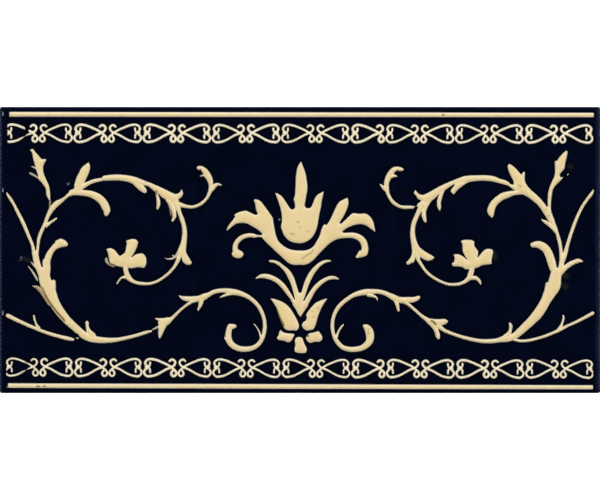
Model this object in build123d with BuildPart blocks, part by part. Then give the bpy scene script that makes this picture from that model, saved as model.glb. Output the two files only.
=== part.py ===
from build123d import *
import os

# A pressed wall tile for a border course, lying on its back with the glazed face up.
# The origin is the middle of the underside, X along the course and Y across it, in millimetres.

# The tile's body
tile_length = 200.0
tile_width = 95.3
face_height = 8.0  # underside to the plain glazed face
corner_radius = 0.8  # the four upright corners
arris_radius = 1.0  # the rounded edge round the face
foot_chamfer = 0.6  # the edge round the underside

# The keying grooves in the underside
groove_count = 8
groove_width = 6.0
groove_pitch = 10.8
groove_depth = 1.2
groove_end_land = 9.0  # plain back left at each end of a groove

# The raised ornament, drawn for this size of tile and stretched with it
drawn_length = 200.0
drawn_width = 95.3
ornament_length = 196.0  # the pattern is cut off square at both ends
relief_height = 0.9  # leaves and stems over the plain face
band_height = 0.9  # the plain raised band along each long edge
band_width = 1.75
band_length = 195.2
band_setback = 2.35  # tile edge to the middle of that band
band_rounding = 0.3
chain_height = 0.7
chain_setback = 8.55  # tile edge to the crossings of the chain
chain_shift = -0.43  # the rows lie a little to the left
heart_pitch = 11.55
heart_count = 17
heart_line = 0.84
seam_after = 11  # the chain's two lengths meet after this heart
ring_radius = 1.2
ring_bore = 0.4

stretch_x = tile_length / drawn_length
stretch_y = tile_width / drawn_width

# Spines of the ornament's left half, as points (x, y, half width) from the middle of the face.
# Each runs from a tip or a branch to where it joins, and the right half mirrors them.
scroll = {
    "outer_stem": [(-98.2, 19.5, 0.15), (-97.0, 17.4, 0.5), (-94.9, 14.0, 0.55), (-92.8, 10.0, 0.62),
                   (-90.7, 5.0, 0.58), (-89.2, 1.2, 0.55), (-88.5, -2.2, 0.8)],
    "inner_stem": [(-87.7, -2.0, 0.6), (-87.5, 1.0, 0.5), (-86.9, 5.0, 0.58), (-85.4, 8.4, 0.6),
                   (-84.1, 11.4, 0.65), (-82.4, 14.4, 0.95), (-80.3, 16.2, 0.8), (-78.2, 17.9, 0.5),
                   (-76.2, 19.1, 0.85), (-74.4, 19.9, 1.2)],
    "twig": [(-81.3, 10.7, 0.38), (-83.0, 9.5, 0.45), (-85.2, 8.0, 0.75)],
    "bud": [(-89.5, 33.2, 0.4), (-88.3, 31.5, 0.85), (-87.2, 29.4, 1.45), (-86.9, 27.0, 1.1),
            (-86.4, 25.0, 1.0), (-85.3, 22.8, 0.9), (-84.3, 20.3, 0.75), (-83.8, 18.0, 0.6), (-83.4, 15.4, 0.3)],
    "bud_horn": [(-84.9, 30.1, 0.2), (-85.8, 29.4, 0.6), (-86.8, 28.0, 0.8)],
    "upright_leaf": [(-70.5, 28.8, 0.4), (-70.9, 27.6, 0.85), (-71.6, 26.2, 1.35), (-72.5, 24.3, 1.45),
                     (-73.5, 22.2, 1.5), (-74.3, 20.2, 1.2)],
    "arch": [(-74.0, 20.3, 1.2), (-71.4, 21.9, 0.75), (-69.0, 23.0, 0.6), (-66.2, 23.6, 0.6),
             (-64.4, 24.1, 0.9), (-61.5, 24.3, 1.0), (-58.0, 24.05, 1.05), (-55.0, 23.2, 1.1),
             (-52.2, 22.5, 0.85), (-50.0, 21.7, 0.75), (-48.0, 20.5, 1.05), (-46.2, 19.4, 1.3),
             (-44.2, 18.0, 1.5), (-42.2, 16.4, 1.4), (-41.0, 14.6, 1.1), (-40.2, 12.6, 0.75),
             (-39.3, 10.0, 0.72), (-38.6, 7.0, 0.75), (-38.6, 4.0, 0.85), (-39.0, 1.6, 1.05),
             (-39.6, -0.6, 1.3), (-40.3, -2.4, 0.85), (-41.2, -4.4, 0.6), (-42.7, -6.6, 0.5),
             (-44.8, -8.6, 0.48), (-47.3, -10.3, 0.46), (-50.0, -11.2, 0.45), (-52.6, -11.25, 0.52),
             (-55.0, -10.8, 0.6), (-56.8, -9.7, 0.8), (-57.9, -8.2, 0.85), (-58.2, -6.2, 0.85), (-58.3, -4.6, 0.9)],
    "arch_hook": [(-51.7, 19.5, 0.7), (-52.3, 20.4, 1.0), (-53.6, 21.6, 1.1), (-55.6, 22.8, 1.0)],
    "first_drop": [(-47.5, 13.9, 0.45), (-47.1, 15.2, 0.6), (-47.1, 16.6, 0.55), (-47.8, 18.8, 0.4), (-48.4, 20.0, 0.4)],
    "second_drop": [(-42.7, 9.7, 0.4), (-42.1, 11.2, 0.72), (-42.2, 12.9, 0.85), (-42.9, 14.8, 0.95), (-43.8, 16.2, 0.8)],
    "node_horn": [(-39.5, 20.1, 0.15), (-39.6, 19.1, 0.5), (-40.2, 18.2, 0.85), (-41.4, 17.7, 1.05), (-43.0, 17.5, 1.2)],
    "tendril": [(-34.2, 27.35, 0.65), (-33.0, 27.3, 0.75), (-31.9, 26.5, 0.95), (-30.9, 25.1, 1.1),
                (-30.0, 23.5, 0.85), (-29.6, 21.8, 0.72), (-29.8, 20.1, 0.75), (-30.5, 18.4, 0.6),
                (-31.6, 16.7, 0.58), (-33.1, 15.4, 0.58), (-35.0, 14.5, 0.55), (-37.2, 14.4, 0.55),
                (-39.4, 14.95, 0.8), (-41.2, 15.7, 1.1)],
    "tendril_leaf": [(-26.2, 21.6, 0.15), (-27.2, 21.85, 0.5), (-28.3, 21.4, 0.75), (-29.4, 20.2, 0.7)],
    "heel_leaf": [(-36.7, -4.2, 0.6), (-37.5, -3.8, 1.05), (-38.3, -2.4, 1.1), (-39.0, -0.6, 1.0)],
    "heel_spur": [(-45.1, -2.7, 0.15), (-43.8, -2.95, 0.3), (-42.2, -2.6, 0.4), (-41.0, -1.6, 0.7), (-40.1, -0.3, 0.8)],
    "stipule": [(-61.1, -11.1, 0.28), (-60.3, -9.9, 0.35), (-59.2, -9.1, 0.42), (-57.9, -9.0, 0.6)],
    "hook_leaf": [(-64.6, 12.0, 0.75), (-64.4, 13.2, 1.15), (-65.0, 14.9, 1.35), (-66.2, 16.6, 1.35),
                  (-68.2, 18.0, 1.25), (-70.6, 18.75, 1.05), (-73.0, 19.1, 1.0), (-75.6, 19.2, 1.0)],
    "trunk": [(-88.4, -1.0, 0.95), (-87.8, -4.0, 1.15), (-86.4, -7.2, 1.5), (-85.2, -10.6, 1.7),
              (-83.8, -14.0, 2.1), (-82.3, -17.2, 1.9), (-80.5, -20.2, 1.65), (-78.3, -22.9, 1.5),
              (-75.8, -25.5, 1.4), (-72.9, -28.0, 1.4), (-70.2, -29.5, 1.2), (-67.4, -30.0, 1.05),
              (-64.3, -30.1, 0.9), (-61.0, -29.8, 0.7), (-57.5, -29.1, 0.6), (-54.0, -28.2, 0.58), (-50.0, -27.0, 0.5)],
    "trunk_leaf": [(-78.6, 2.3, 1.1), (-80.2, 2.4, 1.45), (-81.8, 1.3, 1.1), (-83.3, -0.4, 1.15),
                   (-84.3, -2.6, 1.2), (-84.8, -5.2, 1.3), (-84.9, -8.2, 1.35), (-84.8, -11.0, 1.6)],
    "trunk_step": [(-82.2, -10.6, 0.7), (-82.6, -12.0, 1.05), (-82.9, -14.6, 1.1)],
    "trunk_flank": [(-89.0, -12.1, 0.15), (-87.6, -12.7, 0.6), (-86.2, -14.2, 0.85), (-84.4, -16.4, 0.8)],
    "trunk_twig": [(-71.0, -24.3, 0.6), (-70.8, -25.8, 0.65), (-70.1, -27.4, 0.95), (-69.0, -29.0, 1.0)],
    "root": [(-98.2, -21.6, 0.65), (-95.0, -23.1, 0.6), (-90.0, -25.4, 0.52), (-85.0, -27.4, 0.52),
             (-80.0, -28.9, 0.58), (-76.5, -29.7, 0.58), (-72.5, -29.9, 0.6)],
    "root_twig": [(-88.7, -21.9, 0.32), (-88.4, -23.4, 0.36), (-87.9, -24.8, 0.4), (-87.0, -26.2, 0.5)],
    "lower_scroll": [(-50.4, -27.0, 0.45), (-47.4, -25.5, 0.5), (-45.0, -24.2, 1.3), (-43.0, -22.7, 0.85), (-41.0, -21.0, 0.55),
                     (-39.0, -19.2, 0.5), (-37.0, -17.7, 0.55), (-34.8, -16.6, 0.85), (-32.4, -15.7, 1.0),
                     (-30.2, -14.6, 0.8), (-27.6, -13.7, 0.72), (-24.6, -13.6, 0.85), (-21.6, -14.05, 0.95),
                     (-18.8, -14.95, 0.78), (-16.2, -16.5, 0.7), (-14.0, -18.7, 0.66), (-12.5, -21.5, 0.62),
                     (-11.8, -24.7, 0.6), (-12.1, -27.8, 0.65), (-13.1, -30.3, 0.7), (-14.9, -32.2, 0.78),
                     (-17.4, -33.0, 0.88), (-20.0, -32.9, 0.95), (-22.2, -31.9, 1.05), (-23.7, -30.0, 1.15),
                     (-24.0, -27.8, 1.05), (-23.5, -25.7, 1.0)],
    "scroll_eye": [(-21.8, -25.3, 0.6), (-22.8, -25.4, 0.75), (-23.6, -26.2, 0.8)],
    "scroll_hook": [(-26.6, -15.7, 0.15), (-25.4, -15.15, 0.4), (-24.0, -14.7, 0.55), (-22.4, -14.3, 0.6)],
    "scroll_twig": [(-33.9, -19.9, 0.42), (-33.6, -18.9, 0.5), (-33.1, -17.6, 0.75), (-32.4, -16.2, 0.9)],
    "inner_twig": [(-15.4, -24.8, 0.18), (-14.4, -26.0, 0.24), (-13.6, -27.6, 0.28), (-13.0, -29.6, 0.5)],
    "upper_barb": [(-40.3, -15.2, 0.15), (-39.2, -15.9, 0.5), (-37.4, -16.2, 0.75), (-35.4, -16.3, 0.8), (-33.4, -16.0, 0.9)],
    "lower_barb": [(-48.3, -22.9, 0.12), (-46.8, -23.2, 0.5), (-45.2, -23.4, 0.8), (-43.6, -23.1, 0.8)],
    "barb_drop": [(-46.8, -29.1, 0.4), (-46.5, -27.6, 0.75), (-45.9, -25.8, 1.15), (-44.8, -24.2, 1.2)],
}
flower = {
    "top_petal": [(-55.9, 2.5, 1.75), (-56.2, 0.6, 1.7), (-57.0, -1.6, 1.7), (-57.8, -3.6, 1.6)],
    "left_petal": [(-63.6, -0.4, 1.0), (-62.4, -1.6, 1.7), (-60.6, -3.2, 2.1), (-58.4, -4.2, 1.6)],
    "right_petal": [(-52.4, -3.4, 2.1), (-54.4, -3.8, 2.0), (-56.6, -4.2, 1.6), (-58.6, -4.4, 1.3)],
}
palmette = {
    "spike": [(0.0, 29.3, 0.15), (0.0, 27.0, 1.1), (0.0, 23.5, 1.9), (0.0, 20.0, 2.1), (0.0, 16.5, 1.95), (0.0, 13.0, 1.9)],
    "bowl_point": [(-8.3, 19.1, 0.15), (-7.0, 17.2, 0.85), (-5.6, 14.8, 1.5), (-4.2, 12.0, 2.0), (-3.4, 9.0, 2.4)],
    "side_leaf": [(-15.1, 16.7, 0.25), (-13.7, 15.0, 1.1), (-12.3, 12.6, 1.9), (-11.2, 9.6, 2.4), (-10.2, 6.4, 2.6),
                  (-8.6, 3.2, 2.5), (-6.2, 0.4, 2.3), (-3.4, -1.9, 2.3), (0.0, -2.55, 2.45)],
    "flag_leaf": [(-24.5, 6.4, 0.15), (-23.2, 8.2, 0.8), (-21.4, 10.2, 1.45), (-18.6, 11.05, 1.95), (-16.0, 10.2, 2.0),
                  (-13.2, 9.0, 2.3), (-11.2, 7.0, 2.4)],
    "curl": [(-19.9, -1.6, 0.95), (-21.2, -1.4, 1.15), (-21.8, 0.2, 0.75), (-21.5, 2.2, 0.7), (-20.2, 3.9, 0.65),
             (-18.2, 4.9, 0.6), (-15.8, 5.0, 0.55), (-13.6, 4.6, 0.5), (-11.6, 3.8, 0.8)],
    "upper_frond": [(-10.1, -3.65, 0.3), (-8.6, -3.85, 0.5), (-6.8, -4.9, 0.6), (-4.9, -6.8, 0.75), (-3.3, -9.2, 0.9),
                    (-2.3, -12.0, 0.85), (-1.5, -15.0, 0.85), (-0.7, -18.0, 0.9)],
    "lower_frond": [(-14.9, -9.6, 0.15), (-13.4, -8.9, 0.6), (-11.4, -8.85, 0.8), (-9.2, -9.5, 0.85), (-7.0, -10.9, 0.85),
                    (-5.0, -13.1, 0.85), (-3.4, -15.7, 0.75), (-1.8, -18.2, 0.8), (-0.3, -20.6, 0.7)],
    "wedge": [(0.0, -22.2, 0.15), (0.0, -20.4, 1.0), (0.0, -18.2, 2.0), (0.0, -16.4, 1.6)],
    "sepal": [(-9.7, -16.2, 0.15), (-7.5, -17.8, 1.0), (-5.8, -19.8, 1.85), (-4.4, -22.2, 2.45), (-3.2, -24.6, 2.4), (-2.8, -26.2, 1.9)],
    "side_petal": [(-7.3, -28.5, 1.0), (-6.0, -28.7, 1.1), (-4.4, -29.2, 1.25), (-2.8, -29.1, 0.9)],
}
bowl = [(-5.9, 12.2), (-6.1, 8.2), (-4.8, 4.4), (-3.2, 3.0), (-0.8, 2.4)]
foot_petal = [(-0.9, -28.9), (-1.5, -31.3), (-2.1, -33.0), (-2.0, -34.1), (-0.5, -34.4)]

# One heart of the chain: u runs from the curls' axis to the threes' axis, v from the crossing.
heart_upper = [(1.1, -0.85), (2.1, -0.05), (4.3, 1.2), (7.0, 2.4), (9.3, 2.7), (10.7, 1.8), (9.9, 0.2)]
heart_lower = [(2.8, 2.2), (1.5, 2.7), (0.5, 1.5), (1.7, 0.1), (4.8, -1.25), (7.4, -2.65), (10.0, -3.0), (10.9, -1.6), (9.8, -0.1)]
heart_bar = [(9.0, 1.4), (9.5, 0.0), (9.1, -1.8)]
ring_centre = (1.3, -2.15)


def sides_of(spine):
    """The points on the left and on the right of a spine, each its half width away."""
    middle = [Vector(x * stretch_x, y * stretch_y) for x, y, half in spine]
    left = []
    right = []
    for index, (x, y, half) in enumerate(spine):
        ahead = middle[min(index + 1, len(spine) - 1)]
        behind = middle[max(index - 1, 0)]
        across = (ahead - behind).normalized().rotate(Axis.Z, 90) * half
        left.append(middle[index] + across)
        right.append(middle[index] - across)
    return left, right


def leaf(spine):
    """Adds one stem or leaf to the sketch, with an end as wide as the spine says at each tip."""
    left, right = sides_of(spine)
    with BuildLine() as outline:
        Polyline(*left, *reversed(right), close=True)
    make_face(outline.edges())


def half_plate(points):
    """Adds a straight-sided plate from its left edge to the middle line, to be mirrored."""
    corners = [(x * stretch_x, y * stretch_y) for x, y in points]
    with BuildLine() as outline:
        Polyline((0, corners[0][1]), *corners, (0, corners[-1][1]), close=True)
    make_face(outline.edges())


with BuildSketch(Plane.XY.offset(face_height)) as scroll_work:
    for spine in (*scroll.values(), *flower.values()):
        leaf(spine)
    mirror(about=Plane.YZ)
    Rectangle(ornament_length * stretch_x, tile_width, mode=Mode.INTERSECT)

with BuildSketch(Plane.XY.offset(face_height)) as palmette_work:
    for spine in palmette.values():
        leaf(spine)
    half_plate(bowl)
    half_plate(foot_petal)
    mirror(about=Plane.YZ)

with BuildSketch() as right_heart:
    for points in (heart_upper, heart_lower, heart_bar):
        leaf([(u, v, heart_line / 2) for u, v in points])
    with Locations((ring_centre[0] * stretch_x, ring_centre[1] * stretch_y)):
        RegularPolygon(ring_radius, 6)
        RegularPolygon(ring_bore, 4, mode=Mode.SUBTRACT)

with BuildSketch() as left_heart:
    mirror(right_heart.sketch, about=Plane.YZ)

with BuildSketch(Plane.XY.offset(face_height)) as chain_work:
    row_y = (drawn_width / 2 - chain_setback) * stretch_y
    for index in range(heart_count):
        turned = (index + (index >= seam_after)) % 2
        curl_x = (chain_shift + heart_pitch * (index + 1 - turned - heart_count / 2)) * stretch_x
        with Locations((curl_x, row_y), (curl_x, -row_y)):
            add(right_heart.sketch if turned else left_heart.sketch)

with BuildPart() as border_tile:
    Box(tile_length, tile_width, face_height, align=(Align.CENTER, Align.CENTER, Align.MIN))
    fillet(border_tile.edges().filter_by(Axis.Z), corner_radius)
    fillet(border_tile.faces().sort_by(Axis.Z)[-1].edges(), arris_radius)
    chamfer(border_tile.faces().sort_by(Axis.Z)[0].edges(), foot_chamfer)
    with BuildSketch() as grooves:
        with GridLocations(1, groove_pitch, 1, groove_count):
            SlotOverall(tile_length - 2 * groove_end_land, groove_width)
    extrude(amount=groove_depth, mode=Mode.SUBTRACT)
    with BuildSketch(Plane.YZ.offset(-band_length * stretch_x / 2)) as bands:
        for row_y in (drawn_width / 2 - band_setback, band_setback - drawn_width / 2):
            with Locations((row_y * stretch_y, face_height)):
                Rectangle(band_width, band_height, align=(Align.CENTER, Align.MIN))
        fillet(bands.vertices().group_by(Axis.Z)[-1], band_rounding)
    extrude(amount=band_length * stretch_x)
    extrude(scroll_work.sketch, amount=relief_height)
    extrude(palmette_work.sketch, amount=relief_height)
    extrude(chain_work.sketch, amount=chain_height)

border_tile.part.label = "border_tile"
os.makedirs("parts", exist_ok=True)
export_step(border_tile.part, "parts/border_tile.step")
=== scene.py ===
import bpy
import numpy as np
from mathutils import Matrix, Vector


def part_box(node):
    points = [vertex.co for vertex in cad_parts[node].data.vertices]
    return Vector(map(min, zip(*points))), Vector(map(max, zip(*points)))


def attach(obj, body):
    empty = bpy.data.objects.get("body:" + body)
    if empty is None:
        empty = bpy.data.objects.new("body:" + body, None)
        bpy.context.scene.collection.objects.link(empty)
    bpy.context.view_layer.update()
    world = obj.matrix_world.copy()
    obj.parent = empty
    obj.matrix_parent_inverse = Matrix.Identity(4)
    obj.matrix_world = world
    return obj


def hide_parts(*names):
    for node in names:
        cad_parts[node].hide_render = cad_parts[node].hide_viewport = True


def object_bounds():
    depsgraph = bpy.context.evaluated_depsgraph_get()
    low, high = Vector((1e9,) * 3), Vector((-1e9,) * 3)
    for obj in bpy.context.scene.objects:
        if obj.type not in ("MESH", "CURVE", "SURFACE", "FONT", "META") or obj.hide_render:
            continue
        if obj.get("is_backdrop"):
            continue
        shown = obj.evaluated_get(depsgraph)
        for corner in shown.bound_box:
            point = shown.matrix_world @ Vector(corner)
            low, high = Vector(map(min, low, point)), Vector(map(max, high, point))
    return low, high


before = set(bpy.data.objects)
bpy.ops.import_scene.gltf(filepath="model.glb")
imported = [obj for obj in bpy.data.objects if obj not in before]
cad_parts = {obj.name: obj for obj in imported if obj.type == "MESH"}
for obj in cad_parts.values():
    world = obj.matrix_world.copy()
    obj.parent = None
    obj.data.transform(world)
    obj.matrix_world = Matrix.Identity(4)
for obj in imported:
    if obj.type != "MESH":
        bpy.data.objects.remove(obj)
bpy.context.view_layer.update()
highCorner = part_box("border_tile")[1]

# Lengths are in millimetres from the middle of the tile, and become metres in meshFromArrays.
halfX = highCorner.x * 1000
halfY = highCorner.y * 1000
topZ = highCorner.z * 1000

tile = {
    "faceZ": 8.0,  # plain glazed face
    "arris": 1.0,  # rounded edge round the face
    "cornerRadius": 0.8,
    "footChamfer": 0.6,
    "cell": 0.17,  # grid over the face
    "snap": 0.48,  # part of a cell that a grid point may move to lie on an outline
    "block": 8,  # cells along a side of the flat blocks that are thinned
    "blockClear": 0.45,  # how far from any outline such a block is
    "inset": 0.03,  # the outlines are drawn in by this
    "seen": 1.0027,  # the grid is drawn this much larger, as the camera sees it, and shrunk for the mesh
    "bandFrom": 34.7,  # the chain bands start this far from the middle line
    "bandFromBelow": -35.15,
    "fieldSplit": 33.4,  # where the field is cut into three pieces
    "slabFloor": 6.4,  # underside of the face pieces, inside the tile
    "seed": 11,
}
drawing = {
    "corner": 48.0,  # a run that turns by more degrees than this keeps a sharp point
    "spacing": 0.35,  # between the points of a smoothed run
    "far": 9.0,  # the distance of places that no shape reaches
    "reach": 2.2,  # how far round a shape the distance is worked out
    "markReach": 2.0,
    "batch": 12,  # stretches of a run worked out at a time
    "blur": 0.5,  # how softly grey shapes, stains and painted-shade flanks end
    "markBlur": 0.35,
    "oliveBlur": 0.9,
}
faceX = halfX - tile["arris"]
faceY = halfY - tile["arris"]
seen = tile["seen"]
random = np.random.default_rng(tile["seed"])


def smoothRun(points, corner=drawing["corner"], closed=False):
    # A cubic Hermite curve through the points. Where the run turns by more than the corner
    # angle, its two sides keep their own directions, so tips and notches stay sharp.
    p = np.asarray(points, float)
    if closed:
        p = np.vstack([p, p[:1]])
    step = p[1:] - p[:-1]
    length = np.maximum(np.hypot(step[:, 0], step[:, 1]), 1e-6)
    slope = step / length[:, None]
    before = np.vstack([slope[-1:] if closed else slope[:1], slope])
    after = np.vstack([slope, slope[:1] if closed else slope[-1:]])
    reachBefore = np.append(length[-1] if closed else length[0], length)
    reachAfter = np.append(length, length[0] if closed else length[-1])
    mean = before * reachAfter[:, None] + after * reachBefore[:, None]
    mean = mean / (reachBefore + reachAfter)[:, None]
    across = before[:, 0] * after[:, 1] - before[:, 1] * after[:, 0]
    turn = np.degrees(np.abs(np.arctan2(across, (before[:, :2] * after[:, :2]).sum(1))))
    sharp = (turn > corner)[:, None]
    leaving = np.where(sharp, after, mean)[:-1] * length[:, None]
    arriving = np.where(sharp, before, mean)[1:] * length[:, None]
    pieces = int(np.ceil(length.max() / drawing["spacing"]))
    t = np.linspace(0, 1, pieces, endpoint=False)[:, None, None]
    run = ((2 * t**3 - 3 * t**2 + 1) * p[:-1] + (t**3 - 2 * t**2 + t) * leaving
           + (3 * t**2 - 2 * t**3) * p[1:] + (t**3 - t**2) * arriving)
    run = run.transpose(1, 0, 2).reshape(-1, p.shape[1])
    return run if closed else np.vstack([run, p[-1:]])


def stretches(run):
    # The starts and ends of the stretches between the run's points, a batch at a time.
    for start in range(0, len(run) - 1, drawing["batch"]):
        part = run[start:start + drawing["batch"] + 1]
        yield part[:-1, None, None], part[1:, None, None]


def alongStretch(x, y, a, b):
    # The stretch as a step, and how far along it, from 0 to 1, each grid point's nearest place is.
    dx, dy = b[..., 0] - a[..., 0], b[..., 1] - a[..., 1]
    t = ((x - a[..., 0]) * dx + (y - a[..., 1]) * dy) / np.maximum(dx * dx + dy * dy, 1e-9)
    return dx, dy, np.clip(t, 0, 1)


def stemDistance(x, y, run):
    # Distance from each grid point to the nearest stretch of the run, less the half width there.
    best = np.full(x.shape, drawing["far"])
    for a, b in stretches(run):
        dx, dy, t = alongStretch(x, y, a, b)
        gap = np.hypot(x - a[..., 0] - t * dx, y - a[..., 1] - t * dy)
        best = np.minimum(best, (gap - a[..., 2] - t * (b[..., 2] - a[..., 2])).min(0))
    return best


def leafDistance(x, y, outline):
    # Distance to the nearest side of a closed outline, negative inside. A point is inside
    # where a line to the right of it crosses the outline an odd number of times.
    best = np.full(x.shape, drawing["far"])
    crossings = np.zeros(x.shape, int)
    for a, b in stretches(np.vstack([outline, outline[:1]])):
        dx, dy, t = alongStretch(x, y, a, b)
        best = np.minimum(best, np.hypot(x - a[..., 0] - t * dx, y - a[..., 1] - t * dy).min(0))
        spans = (a[..., 1] > y) != (b[..., 1] > y)
        at = a[..., 0] + (y - a[..., 1]) / np.where(np.abs(dy) < 1e-9, 1e-9, dy) * dx
        crossings += (spans & (x < at)).sum(0)
    return np.where(crossings % 2 == 1, -best, best)


def gridLines(start, end, length):
    return np.linspace(start, end, int(round(length / tile["cell"])) + 1)


columns = gridLines(-faceX, faceX, 2 * faceX) * seen
splitAt = [int(np.argmin(np.abs(columns - x))) for x in (-tile["fieldSplit"], tile["fieldSplit"])]
below, above = tile["bandFromBelow"], tile["bandFrom"]
lowRows = gridLines(-faceY * seen, below, faceY + below)
midRows = gridLines(below, above, above - below)
highRows = gridLines(above, faceY * seen, faceY - above)
rows = np.concatenate([lowRows, midRows[1:-1], highRows])
lowEdge = len(lowRows) - 1
highEdge = lowEdge + len(midRows) - 1
gridX, gridY = np.meshgrid(columns, rows)
distance = np.full(gridX.shape, drawing["far"])  # to the nearest outline, negative on the ornament
ash = np.zeros(gridX.shape)  # thin greyish glaze
stainAndShade = np.zeros(gridX.shape)  # brown glaze in flaws, and painted shade in crevices and along shaded flanks
print("face grid", gridX.shape)


def gridWindow(run, wide):
    # The rows and columns of the grid that are within this distance of the run.
    return tuple(slice(*np.searchsorted(lines, [run[:, axis].min() - wide, run[:, axis].max() + wide]))
                 for axis, lines in ((1, rows), (0, columns)))


def addShape(points, closed=False, ashy=0.0, stainAndShadeAmount=0.0):
    # Works on the window of the grid that the shape can reach, and keeps the nearest outline.
    run = smoothRun(points, closed=closed)
    part = gridWindow(run, drawing["reach"] + (0 if closed else run[:, 2].max()))
    x, y = gridX[part], gridY[part]
    d = leafDistance(x, y, run) if closed else stemDistance(x, y, run)
    nearer = d < distance[part]
    here = np.clip(0.5 - d / drawing["blur"], 0, 1)
    ash[part] = np.where(nearer, here * ashy, ash[part])
    # brown painted as shade on flanks, and as stains
    stainAndShade[part] = np.where(nearer, here * stainAndShadeAmount, stainAndShade[part])
    distance[part] = np.minimum(distance[part], d)


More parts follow.
